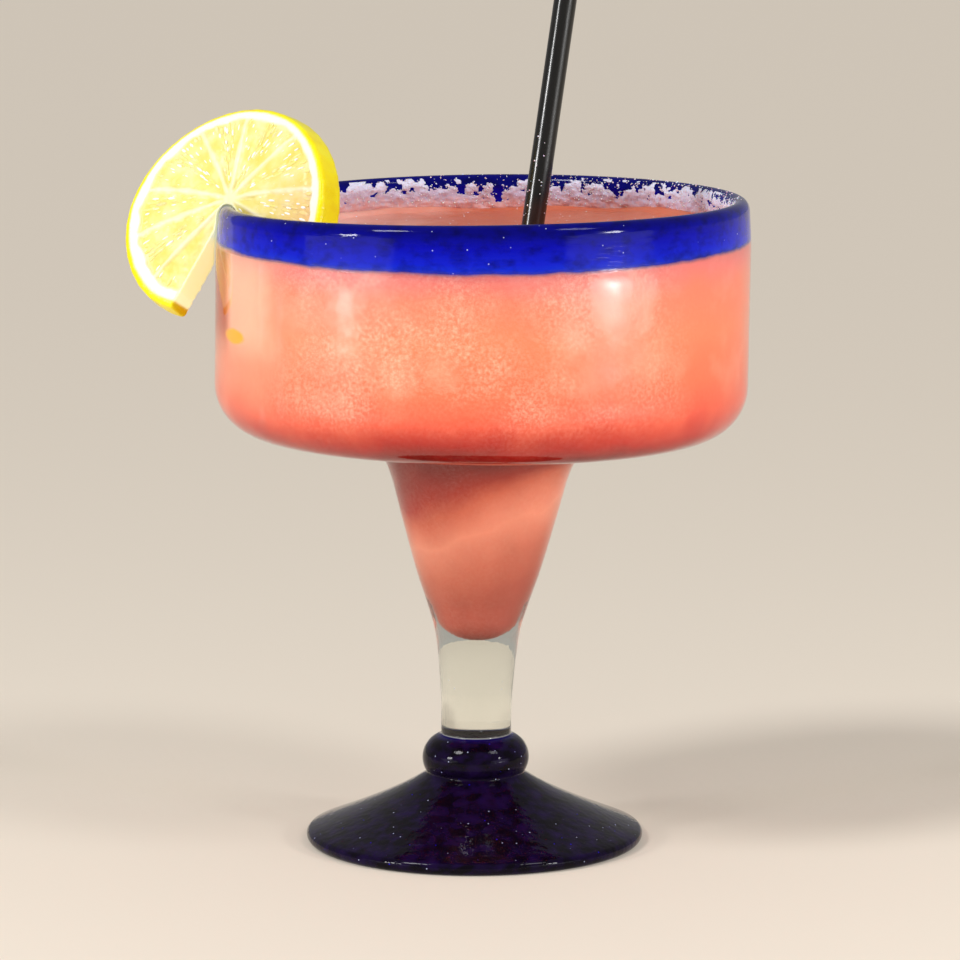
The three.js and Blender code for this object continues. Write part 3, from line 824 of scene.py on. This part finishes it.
def film_depth(angle, z):
    """How thick the film is at a place on the wall; below zero there is none."""
    place = Vector((math.cos(angle) * WALL_RADIUS, math.sin(angle) * WALL_RADIUS, z))
    edge = min(1.0, (film_top(angle) - z) / FILM_FADE)
    lumps = sum(height * noise.noise(place / size) for size, height in FILM_LUMPS)
    return edge * FILM_THICKNESS + lumps


def frosty_ice():
    material, tree = new_material("frosty_slush_film")
    place = add(tree, "TexCoord").outputs["Object"]
    height = add(tree, "SeparateXYZ", {0: place}).outputs[2]
    mottled = add(tree, "TexNoise", {"Vector": place, "Scale": 1 / (1.2 * MM), "Detail": 4.0})
    jitter = add(tree, "Math", {0: mottled.outputs[0], 1: 7 * MM, 2: height}, operation="MULTIPLY_ADD")
    level = add(tree, "MapRange", {
        "Value": jitter.outputs[0], "From Min": (LEVEL_Z + 2) * MM, "From Max": (LEVEL_Z + 11) * MM,
    })
    colour = add(tree, "ValToRGB", {0: level.outputs[0]}, stops=[
        (0.05, srgb("#E2968C")), (0.35, srgb("#DEB0B2")), (0.6, srgb("#CDBCD4")), (0.9, srgb("#DFDEF6")),
    ])
    rough = add(tree, "Bump", {"Height": mottled.outputs[0], "Strength": 0.6, "Distance": 0.25 * MM})
    shader = add(tree, "BsdfPrincipled", {
        "Base Color": colour.outputs[0], "Roughness": 0.3, "IOR": 1.31, "Normal": rough.outputs[0],
        "Subsurface Weight": 0.3, "Subsurface Radius": (1.0, 0.7, 0.7), "Subsurface Scale": 0.6 * MM,
    })
    add(tree, "OutputMaterial", {"Surface": shader.outputs[0]})
    return material


def film_shape():
    rows = [FILM_LOW_Z + (FILM_HIGH_Z - FILM_LOW_Z) * i / FILM_ROWS for i in range(FILM_ROWS + 1)]
    shape = turned([(WALL_RADIUS, z) for z in rows], FILM_STEPS)
    depths = {v: film_depth(math.atan2(v.co.y, v.co.x), v.co.z) for v in shape.verts}
    bare = [face for face in shape.faces if max(depths[v] for v in face.verts) < 0]
    bmesh.ops.delete(shape, geom=bare, context="FACES")
    back = list(shape.faces)
    front = bmesh.ops.extrude_face_region(shape, geom=back, use_keep_orig=True)["geom"]
    raised = {v for v in front if isinstance(v, bmesh.types.BMVert)}
    for v in shape.verts:
        angle = math.atan2(v.co.y, v.co.x)
        depth = max(-FILM_EDGE_SUNK, film_depth(angle, v.co.z)) if v in raised else -FILM_BACK_SUNK
        v.co = in_goblet(inside_radius(v.co.z) - depth, angle, v.co.z)
    bmesh.ops.recalc_face_normals(shape, faces=shape.faces)
    return shape


finish_piece("ice_film", film_shape(), frosty_ice())

# %% [markdown]
# ## The straw
#
# A bar straw is an extruded polypropylene tube with a thin wall. It is spun from the
# outline of its wall, with a slight rounding at both ends, and then laid along the line
# from its tip in the cone through the surface. Extruding leaves faint lines along it, so
# the noise of its gloss is drawn out in that direction.

# %% Black plastic
STRAW_LENGTH = 146
STRAW_RADIUS = 2.7
STRAW_WALL = 0.25
STRAW_TIP = Vector((1.8, -5.6, 65))
STRAW_SURFACE_POINT = Vector((13.5, 0.5, LEVEL_Z))
STRAW_STEPS = 48
straw_line = (STRAW_SURFACE_POINT - STRAW_TIP).normalized()
straw_place = Matrix.Translation(STRAW_TIP) @ straw_line.to_track_quat("Z", "Y").to_matrix().to_4x4()


def black_polypropylene():
    material, tree = new_material("black_extruded_polypropylene")
    place = add(tree, "TexCoord").outputs["Object"]
    drawn = add(tree, "Mapping", {"Vector": place, "Scale": (1.0, 1.0, 0.02)})
    lines = add(tree, "TexNoise", {"Vector": drawn.outputs[0], "Scale": 1 / (0.8 * MM), "Detail": 2.0})
    height = add(tree, "SeparateXYZ", {0: place}).outputs[2]
    # Below the rim the straw is wet, and its brown tint there is a painted reflection of the drink.
    wet_with_painted_reflection = add(tree, "MapRange", {
        "Value": height, "From Min": (RIM_TOP_Z + 1) * MM, "From Max": (RIM_TOP_Z - 2) * MM,
    })
    colour = add(tree, "Mix", {0: wet_with_painted_reflection.outputs[0], 6: srgb("#0C0B0A"), 7: srgb("#24140F")},
                 data_type="RGBA")
    gloss = add(tree, "MapRange", {"Value": lines.outputs[0], "To Min": 0.12, "To Max": 0.32})
    relief = add(tree, "Bump", {"Height": lines.outputs[0], "Strength": 0.15, "Distance": 0.05 * MM})
    shader = add(tree, "BsdfPrincipled", {
        "Base Color": colour.outputs[2], "Roughness": gloss.outputs[0], "IOR": 1.49,
        "Normal": relief.outputs[0],
    })
    add(tree, "OutputMaterial", {"Surface": shader.outputs[0]})
    return material


def straw_shape():
    inner = STRAW_RADIUS - STRAW_WALL
    soft = STRAW_WALL / 4
    outline = [
        (inner + soft, 0), (STRAW_RADIUS - soft, 0), (STRAW_RADIUS, soft),
        *straight((STRAW_RADIUS, soft), (STRAW_RADIUS, STRAW_LENGTH - soft), 24),
        (STRAW_RADIUS - soft, STRAW_LENGTH), (inner + soft, STRAW_LENGTH),
        (inner, STRAW_LENGTH - soft), (inner, soft), (inner + soft, 0),
    ]
    shape = spun(outline, STRAW_STEPS)
    bmesh.ops.transform(shape, matrix=straw_place, verts=shape.verts)
    return shape


straw = finish_piece("bar_straw", straw_shape(), black_polypropylene())
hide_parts("straw")

# %% [markdown]
# Loose grains of ice catch the light on the film, along the lip, on the straw and over the
# surface. Each is a coarse little ball, squashed and turned at random, since a real grain is
# a chip with a few facets. A seeded draw places them, so the drink is the same every time.
# They are made in batches, because each operator walks through its whole shape.

# %% Grains of ice
WALL_GRAINS = 3200
SURFACE_GRAINS = 160
LIP_GRAINS = 220
STRAW_GRAINS = 46
STRAW_GRAIN_REACH = (83, 108, 91)
BARE_REACH = -0.15
BATCH = 200
grain_draw = random.Random(20)


def clear_ice():
    material, tree = new_material("clear_ice_grains")
    place = add(tree, "TexCoord").outputs["Object"]
    cloudy = add(tree, "TexNoise", {"Vector": place, "Scale": 1 / (3 * MM), "Detail": 2.0})
    colour = add(tree, "ValToRGB", {0: cloudy.outputs[0]}, stops=[
        (0.35, srgb("#E2C6CE")), (0.55, srgb("#F1EAF2")), (0.7, srgb("#FFFFFF")),
    ])
    shader = add(tree, "BsdfPrincipled", {
        "Base Color": colour.outputs[0], "Roughness": 0.12, "IOR": 1.31,
        "Subsurface Weight": 0.3, "Subsurface Scale": 0.6 * MM,
    })
    add(tree, "OutputMaterial", {"Surface": shader.outputs[0]})
    return material


def drop_grain(shape, place, size):
    """Adds one chip of ice to a shape that holds many."""
    turn = Matrix.Rotation(grain_draw.uniform(0, math.tau), 4, Vector((
        grain_draw.uniform(-1, 1), grain_draw.uniform(-1, 1), grain_draw.uniform(-1, 1) + 0.01,
    )))
    squash = Matrix.Diagonal((
        size * grain_draw.uniform(0.7, 1.3), size * grain_draw.uniform(0.7, 1.3),
        size * grain_draw.uniform(0.5, 1.0), 1.0,
    ))
    bmesh.ops.create_icosphere(
        shape, subdivisions=1, radius=1.0, matrix=Matrix.Translation(place) @ turn @ squash,
    )


def wall_place():
    """A place on the film, or close to one of its edges on the bare glass."""
    depth = -1.0
    while depth < BARE_REACH:
        angle = grain_draw.uniform(0, math.tau)
        z = grain_draw.triangular(LEVEL_Z + 0.5, RIM_TOP_Z - 0.4, RIM_TOP_Z - 1)
        depth = film_depth(angle, z)
    return in_goblet(inside_radius(z) - max(0.0, depth), angle, z)


def surface_place():
    """A place on the surface, out to just short of the wall."""
    angle = grain_draw.uniform(0, math.tau)
    r = (WALL_RADIUS - 1.5) * math.sqrt(grain_draw.random())
    x, y = r * math.cos(angle), r * math.sin(angle)
    return handmade(Vector((x, y, LEVEL_Z + surface_rise(x, y) + slush_relief(x, y))))


def lip_place():
    """A place on the crest of the lip, from the right round to the back."""
    angle = math.radians(grain_draw.triangular(-10, 120, 30))
    tilt = math.radians(grain_draw.uniform(80, 175))
    radius = LIP_RING_RADIUS + LIP_HALF_WIDTH * math.cos(tilt)
    return in_goblet(radius, angle, LIP_Z + LIP_HALF_HEIGHT * math.sin(tilt))


def straw_grain_place():
    """A place on the straw, near the height of the rim."""
    along = grain_draw.triangular(*STRAW_GRAIN_REACH)
    turn = grain_draw.uniform(0, math.tau)
    return straw_place @ Vector((STRAW_RADIUS * math.cos(turn), STRAW_RADIUS * math.sin(turn), along))


def grains_shape():
    sorts = [
        (WALL_GRAINS, wall_place, 0.08, 0.26), (SURFACE_GRAINS, surface_place, 0.1, 0.22),
        (LIP_GRAINS, lip_place, 0.08, 0.26), (STRAW_GRAINS, straw_grain_place, 0.1, 0.24),
    ]
    places = []
    for count, draw_place, small, large in sorts:
        places += [(draw_place(), grain_draw.uniform(small, large)) for _ in range(count)]
    shape = bmesh.new()
    carrier = bpy.data.meshes.new("grain_batch")
    for start in range(0, len(places), BATCH):
        batch = bmesh.new()
        for place, size in places[start:start + BATCH]:
            drop_grain(batch, place, size)
        batch.to_mesh(carrier)
        batch.free()
        shape.from_mesh(carrier)
    bpy.data.meshes.remove(carrier)
    return shape


finish_piece("ice_grains", grains_shape(), clear_ice())

# %% [markdown]
# ## The lemon wheel
#
# A cut lemon shows, from outside in, a waxy yellow zest with oil pores, a white spongy
# pith, and about nine segments of juice sacs between pale membranes. The frame already
# holds the wheel's true form, slit over the rim, so a merged copy of it is remeshed into
# even quads 0.4 mm wide. Each point then learns where it lies in the wheel, how far out and
# at what angle, and that gives both its relief and its colour.

# %% The wheel's own coordinates
LEMON_RADIUS = 27.4
LEMON_THICKNESS = 6.8
LEMON_CORE_RISE = 3.8
LEMON_CENTRE = Vector((-56.9, -1.9, 150))
LEMON_TURN = math.radians(-32)
LEMON_LEAN = math.radians(-26)
LEMON_BEND = 1.6
LEMON_BEND_ANGLE = math.radians(21)
INNER_LOBE_STRETCH = 0.2
INNER_LOBE_ANGLE = math.radians(-79)
INNER_LOBE_CURL = 1.5
OUTER_LOBE_STRETCH = -0.11
OUTER_LOBE_ANGLE = math.radians(-100)
LOBE_SPREAD = math.radians(18)
FLESH_RADIUS = 23.7
ZEST_RADIUS = 25.9
MEMBRANE_ANGLES = [math.radians(a) for a in (-160, -130, -56, -20, 15, 54, 94, 125, 171)]
wheel_place = (
    Matrix.Translation(LEMON_CENTRE) @ Matrix.Rotation(LEMON_TURN, 4, "Z")
    @ Matrix.Rotation(math.pi / 2 + LEMON_LEAN, 4, "X")
)
wheel_back = wheel_place.inverted()


def near_angle(angle, centre, spread):
    """1 on a ray at that angle, fading to 0 on both sides."""
    away = math.atan2(math.sin(angle - centre), math.cos(angle - centre))
    return math.exp(-((away / spread) ** 2))


def wheel_shift(r, angle):
    """Stretch, rise of the core and bend of the wheel at a place in the flat slice."""
    inner_lobe = near_angle(angle, INNER_LOBE_ANGLE, LOBE_SPREAD)
    outer_lobe = near_angle(angle, OUTER_LOBE_ANGLE, LOBE_SPREAD)
    share = r / LEMON_RADIUS
    stretch = 1 + (INNER_LOBE_STRETCH * inner_lobe + OUTER_LOBE_STRETCH * outer_lobe) * share
    rise = LEMON_CORE_RISE * max(0.0, 1 - share ** 2)
    curl = LEMON_BEND * math.cos(2 * (angle - LEMON_BEND_ANGLE)) + INNER_LOBE_CURL * inner_lobe
    return stretch, rise, curl * share ** 2


def to_slice(point):
    """Radius, angle and height in the flat round slice of a point of the shaped wheel."""
    x, y, z = wheel_back @ point
    r, angle = math.hypot(x, y), math.atan2(y, x)
    for _ in range(5):
        stretch, rise, curl = wheel_shift(r, angle)
        flat_x, flat_y = x / stretch, (y - rise) / stretch
        r, angle = math.hypot(flat_x, flat_y), math.atan2(flat_y, flat_x)
    return r, angle, z - wheel_shift(r, angle)[2]


def from_slice(r, angle, z):
    """The other way round: a place in the flat slice, taken to the shaped wheel."""
    stretch, rise, curl = wheel_shift(r, angle)
    flat = Vector((r * math.cos(angle) * stretch, r * math.sin(angle) * stretch + rise, z + curl))
    return wheel_place @ flat


def membrane_gap(r, angle):
    """Distance in millimetres from the nearest membrane between two segments."""
    turns = [math.atan2(math.sin(angle - m), math.cos(angle - m)) for m in MEMBRANE_ANGLES]
    return r * min(abs(math.sin(t)) if abs(t) < math.pi / 2 else 1.0 for t in turns)


# %% Lemon materials
def lemon_skin_and_flesh():
    """One material for the slice: attributes say how much zest or flesh each point holds."""
    material, tree = new_material("lemon_zest_pith_and_flesh")
    place = add(tree, "TexCoord").outputs["Object"]
    zest = add(tree, "Attribute", attribute_name="zest").outputs["Fac"]
    flesh = add(tree, "Attribute", attribute_name="flesh").outputs["Fac"]
    peach_tint = add(tree, "Attribute", attribute_name="peach_tint").outputs["Fac"]
    blotch = add(tree, "TexNoise", {"Vector": place, "Scale": 1 / (5 * MM), "Detail": 4.0})
    zest_colour = add(tree, "ValToRGB", {0: blotch.outputs[0]}, stops=[
        (0.3, srgb("#F8DE00")), (0.5, srgb("#FFEA04")), (0.75, srgb("#FFF420")),
    ])
    flesh_colour = add(tree, "ValToRGB", {0: blotch.outputs[0]}, stops=[
        (0.3, srgb("#E6D664")), (0.5, srgb("#ECDF84")), (0.72, srgb("#F0E8AE")),
    ])
    peach_flesh = add(tree, "Mix", {0: peach_tint, 6: flesh_colour.outputs[0], 7: srgb("#EBC288")}, data_type="RGBA")
    inside = add(tree, "Mix", {0: flesh, 6: srgb("#F8F5E6"), 7: peach_flesh.outputs[2]}, data_type="RGBA")
    colour = add(tree, "Mix", {0: zest, 6: inside.outputs[2], 7: zest_colour.outputs[0]},
                 data_type="RGBA").outputs[2]
    pores = add(tree, "TexVoronoi", {"Vector": place, "Scale": 1 / (1.1 * MM)})
    pits = add(tree, "MapRange", {"Value": pores.outputs["Distance"], "From Min": 0.05, "From Max": 0.35})
    pitted = add(tree, "Math", {0: pits.outputs[0], 1: zest}, operation="MULTIPLY")
    relief = add(tree, "Bump", {"Height": pitted.outputs[0], "Strength": 0.4, "Distance": 0.15 * MM})
    # The cut sides get a painted glow: a cream emission that makes them look lit through.
    cut = add(tree, "Attribute", attribute_name="cut").outputs["Fac"]
    painted_glow = add(tree, "Math", {0: cut, 1: 0.6}, operation="MULTIPLY")
    shader = add(tree, "BsdfPrincipled", {
        "Base Color": colour, "Roughness": 0.3, "IOR": 1.4, "Normal": relief.outputs[0],
        "Subsurface Weight": 0.25, "Subsurface Radius": (0.8, 0.75, 0.3), "Subsurface Scale": 1.5 * MM,
        "Emission Color": srgb("#F2F6A8"), "Emission Strength": painted_glow.outputs[0],
    })
    add(tree, "OutputMaterial", {"Surface": shader.outputs[0]})
    return material


def juice_sac_skin():
    material, tree = new_material("lemon_juice_sacs")
    place = add(tree, "TexCoord").outputs["Object"]
    blotch = add(tree, "TexNoise", {"Vector": place, "Scale": 1 / (3 * MM), "Detail": 3.0})
    peach_tint = add(tree, "Attribute", attribute_name="peach_tint").outputs["Fac"]
    painted_glint = add(tree, "Attribute", attribute_name="painted_glint").outputs["Fac"]
    colour = add(tree, "ValToRGB", {0: blotch.outputs[0]}, stops=[
        (0.3, srgb("#E6D66A")), (0.5, srgb("#ECE08C")), (0.72, srgb("#F2EAB8")),
    ])
    tinted = add(tree, "Mix", {0: peach_tint, 6: colour.outputs[0], 7: srgb("#EEC890")}, data_type="RGBA")
    # The white on some sacs is a painted highlight, the wet glint of light on them.
    wet_with_painted_reflection = add(tree, "Mix", {0: painted_glint, 6: tinted.outputs[2], 7: srgb("#FFFFF6")}, data_type="RGBA")
    # A faint emission is painted light that lifts the shade between the sacs.
    shader = add(tree, "BsdfPrincipled", {
        "Base Color": wet_with_painted_reflection.outputs[2], "Roughness": 0.12, "IOR": 1.36,
        "Subsurface Weight": 0.35, "Subsurface Radius": (0.9, 0.85, 0.4), "Subsurface Scale": 1.2 * MM,
        "Emission Color": srgb("#FFF0A0"), "Emission Strength": 0.1,
    })
    add(tree, "OutputMaterial", {"Surface": shader.outputs[0]})
    return material


# %% Remesh and shape the slice
LEMON_VOXEL = 0.42
PEACH_X = (-52, -36)
PEACH_FADE_Z = (150, 166)


def peach_share(point):
    """How much peach tint the flesh takes: most of it low on the drink's side."""
    return smoothstep(point.x, *PEACH_X) * (1 - smoothstep(point.z, *PEACH_FADE_Z))


def slice_copy():
    """A merged copy of the frame's wheel, remeshed into small even faces."""
    shape = bmesh.new()
    shape.from_mesh(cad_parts["lemon_wheel"].data)
    bmesh.ops.remove_doubles(shape, verts=shape.verts, dist=1e-6)
    mesh = bpy.data.meshes.new("lemon_slice")
    shape.to_mesh(mesh)
    shape.free()
    piece = bpy.data.objects.new("lemon_slice", mesh)
    bpy.context.collection.objects.link(piece)
    remesh = piece.modifiers.new("even_faces", "REMESH")
    remesh.mode = "VOXEL"
    remesh.voxel_size = LEMON_VOXEL * MM
    bpy.context.view_layer.update()
    even = bmesh.new()
    even.from_object(piece, bpy.context.evaluated_depsgraph_get())
    bpy.data.objects.remove(piece)
    bmesh.ops.scale(even, vec=(1 / MM, 1 / MM, 1 / MM), verts=even.verts)
    return even


def shape_slice(shape):
    """Sinks the flesh between its membranes, and writes the masks that the material reads."""
    for _ in range(2):
        bmesh.ops.smooth_vert(
            shape, verts=shape.verts, factor=0.5, use_axis_x=True, use_axis_y=True, use_axis_z=True,
        )
    shape.normal_update()
    layers = {name: shape.verts.layers.float.new(name) for name in ("zest", "flesh", "peach_tint", "cut")}
    facing = wheel_place.to_3x3() @ Vector((0, 0, 1))
    moves = {}
    for v in shape.verts:
        r, angle, z = to_slice(v.co)
        on_face = smoothstep(abs(v.normal.dot(facing)), 0.5, 0.85)
        uneven = 0.5 * noise.noise(v.co / 2.5) + 0.7 * noise.noise(v.co / 6)
        flesh = (1 - smoothstep(r + uneven, FLESH_RADIUS - 0.4, FLESH_RADIUS + 0.4))
        gap = membrane_gap(r, angle)
        wall = 1 - smoothstep(gap + 0.5 * uneven, 0.1, 1.0)
        core = 1 - smoothstep(r, 1.2, 2.6)
        pale = max(wall, core)
        zest = smoothstep(r + 0.25 * uneven, ZEST_RADIUS - 0.35, ZEST_RADIUS + 0.35)
        v[layers["flesh"]] = flesh * (1 - 0.5 * pale) * (0.35 + 0.65 * on_face)
        v[layers["zest"]] = zest
        v[layers["peach_tint"]] = peach_share(v.co) * (0.15 + 0.85 * on_face)
        v[layers["cut"]] = (1 - on_face) * (1 - zest)
        sink = -0.36 * flesh * (1 - pale) + 0.1 * noise.noise(v.co / 1.1)
        moves[v] = v.normal * sink * on_face
    for v, move in moves.items():
        v.co += move
    bmesh.ops.recalc_face_normals(shape, faces=shape.faces)
    return shape


lemon = finish_piece("lemon_slice", shape_slice(slice_copy()), lemon_skin_and_flesh())
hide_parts("lemon_wheel")

# %% [markdown]
# The juice sacs are what makes a lemon look wet: spindle-shaped bags, 2 to 4 mm long, that
# all point at the core. Each is a coarse ball, stretched along its ray and sunk so far into
# the flesh that only its back shows. They are drawn segment by segment, in rows outwards
# from the core, where they are thinnest. Some are a painted glint: a shorter sac that the
# material paints pale, as a painted highlight on the wet flesh.

# %% Juice sacs
SAC_ROWS = 10
SAC_SPACING = 1.15
SAC_HALF_HEIGHT = 0.36
CORE_MARGIN = 3.0
PITH_MARGIN = 1.4
MEMBRANE_MARGIN = 0.55
PAINTED_GLINT_SHARE = 0.3
GLASS_CLEARANCE = 1.6
RIM_CLEARANCE = 2.4
SLIT_DEGREES = (243, 292)
sac_draw = random.Random(5)


def near_glass(point):
    """True so close to the wall or the lip of the goblet that a sac would cross it."""
    offset = Vector((point.x - LEAN * point.z, point.y)).length
    beside_wall = BOWL_RADIUS - WALL - GLASS_CLEARANCE < offset < BOWL_RADIUS + GLASS_CLEARANCE
    return beside_wall and point.z < RIM_TOP_Z + RIM_CLEARANCE


def in_slit(angle):
    """True in or beside the slit that opens downwards from the core."""
    degrees = math.degrees(angle) % 360
    return SLIT_DEGREES[0] < degrees < SLIT_DEGREES[1]


def add_sac(shape, layers, low, high, r, share, side):
    """One sac on a face of the wheel, at a share of the way across its segment."""
    # Some sacs are a painted glint: shorter, narrower, a little higher, and painted white.
    painted_glint = 1.0 if sac_draw.random() < PAINTED_GLINT_SHARE else 0.0
    margin = MEMBRANE_MARGIN / r
    angle = low + margin + (high - low - 2 * margin) * share + sac_draw.uniform(-0.35, 0.35) / r
    reach = min(r + sac_draw.uniform(-1.2, 1.2), FLESH_RADIUS - PITH_MARGIN)
    half_length = sac_draw.uniform(1.1, 2.2) * (0.7 + 0.3 * reach / FLESH_RADIUS) * (1 - 0.4 * painted_glint)
    half_width = sac_draw.uniform(0.4, 0.68) * (0.55 + 0.45 * reach / FLESH_RADIUS) * (1 - 0.42 * painted_glint)
    height = side * (LEMON_THICKNESS / 2 - 0.4 + 0.14 * painted_glint)
    middle = from_slice(reach, angle, height)
    ahead = from_slice(reach + 0.5, angle, height)
    if near_glass(middle) or in_slit(angle):
        return
    along = (ahead - middle).normalized()
    up = (wheel_place.to_3x3() @ Vector((0, 0, side))).normalized()
    turn = Matrix((along, up.cross(along).normalized(), up)).transposed().to_4x4()
    size = Matrix.Diagonal((half_length, half_width, SAC_HALF_HEIGHT, 1.0))
    made = bmesh.ops.create_icosphere(
        shape, subdivisions=2, radius=1.0, matrix=Matrix.Translation(middle) @ turn @ size,
    )
    for v in made["verts"]:
        v[layers["peach_tint"]] = peach_share(v.co)
        v[layers["painted_glint"]] = painted_glint


def sacs_shape():
    shape = bmesh.new()
    layers = {name: shape.verts.layers.float.new(name) for name in ("peach_tint", "painted_glint")}
    borders = sorted(MEMBRANE_ANGLES)
    wedges = list(zip(borders, borders[1:] + [borders[0] + math.tau]))
    for low, high in wedges:
        for row in range(SAC_ROWS):
            r = CORE_MARGIN + (FLESH_RADIUS - CORE_MARGIN - PITH_MARGIN) * (row + 0.5) / SAC_ROWS
            width = (high - low) * r - 2 * MEMBRANE_MARGIN
            count = max(1, int(width / SAC_SPACING))
            for place in range(count):
                for side in (-1, 1):
                    add_sac(shape, layers, low, high, r, (place + 0.5) / count, side)
    return shape


finish_piece("juice_sacs", sacs_shape(), juice_sac_skin())
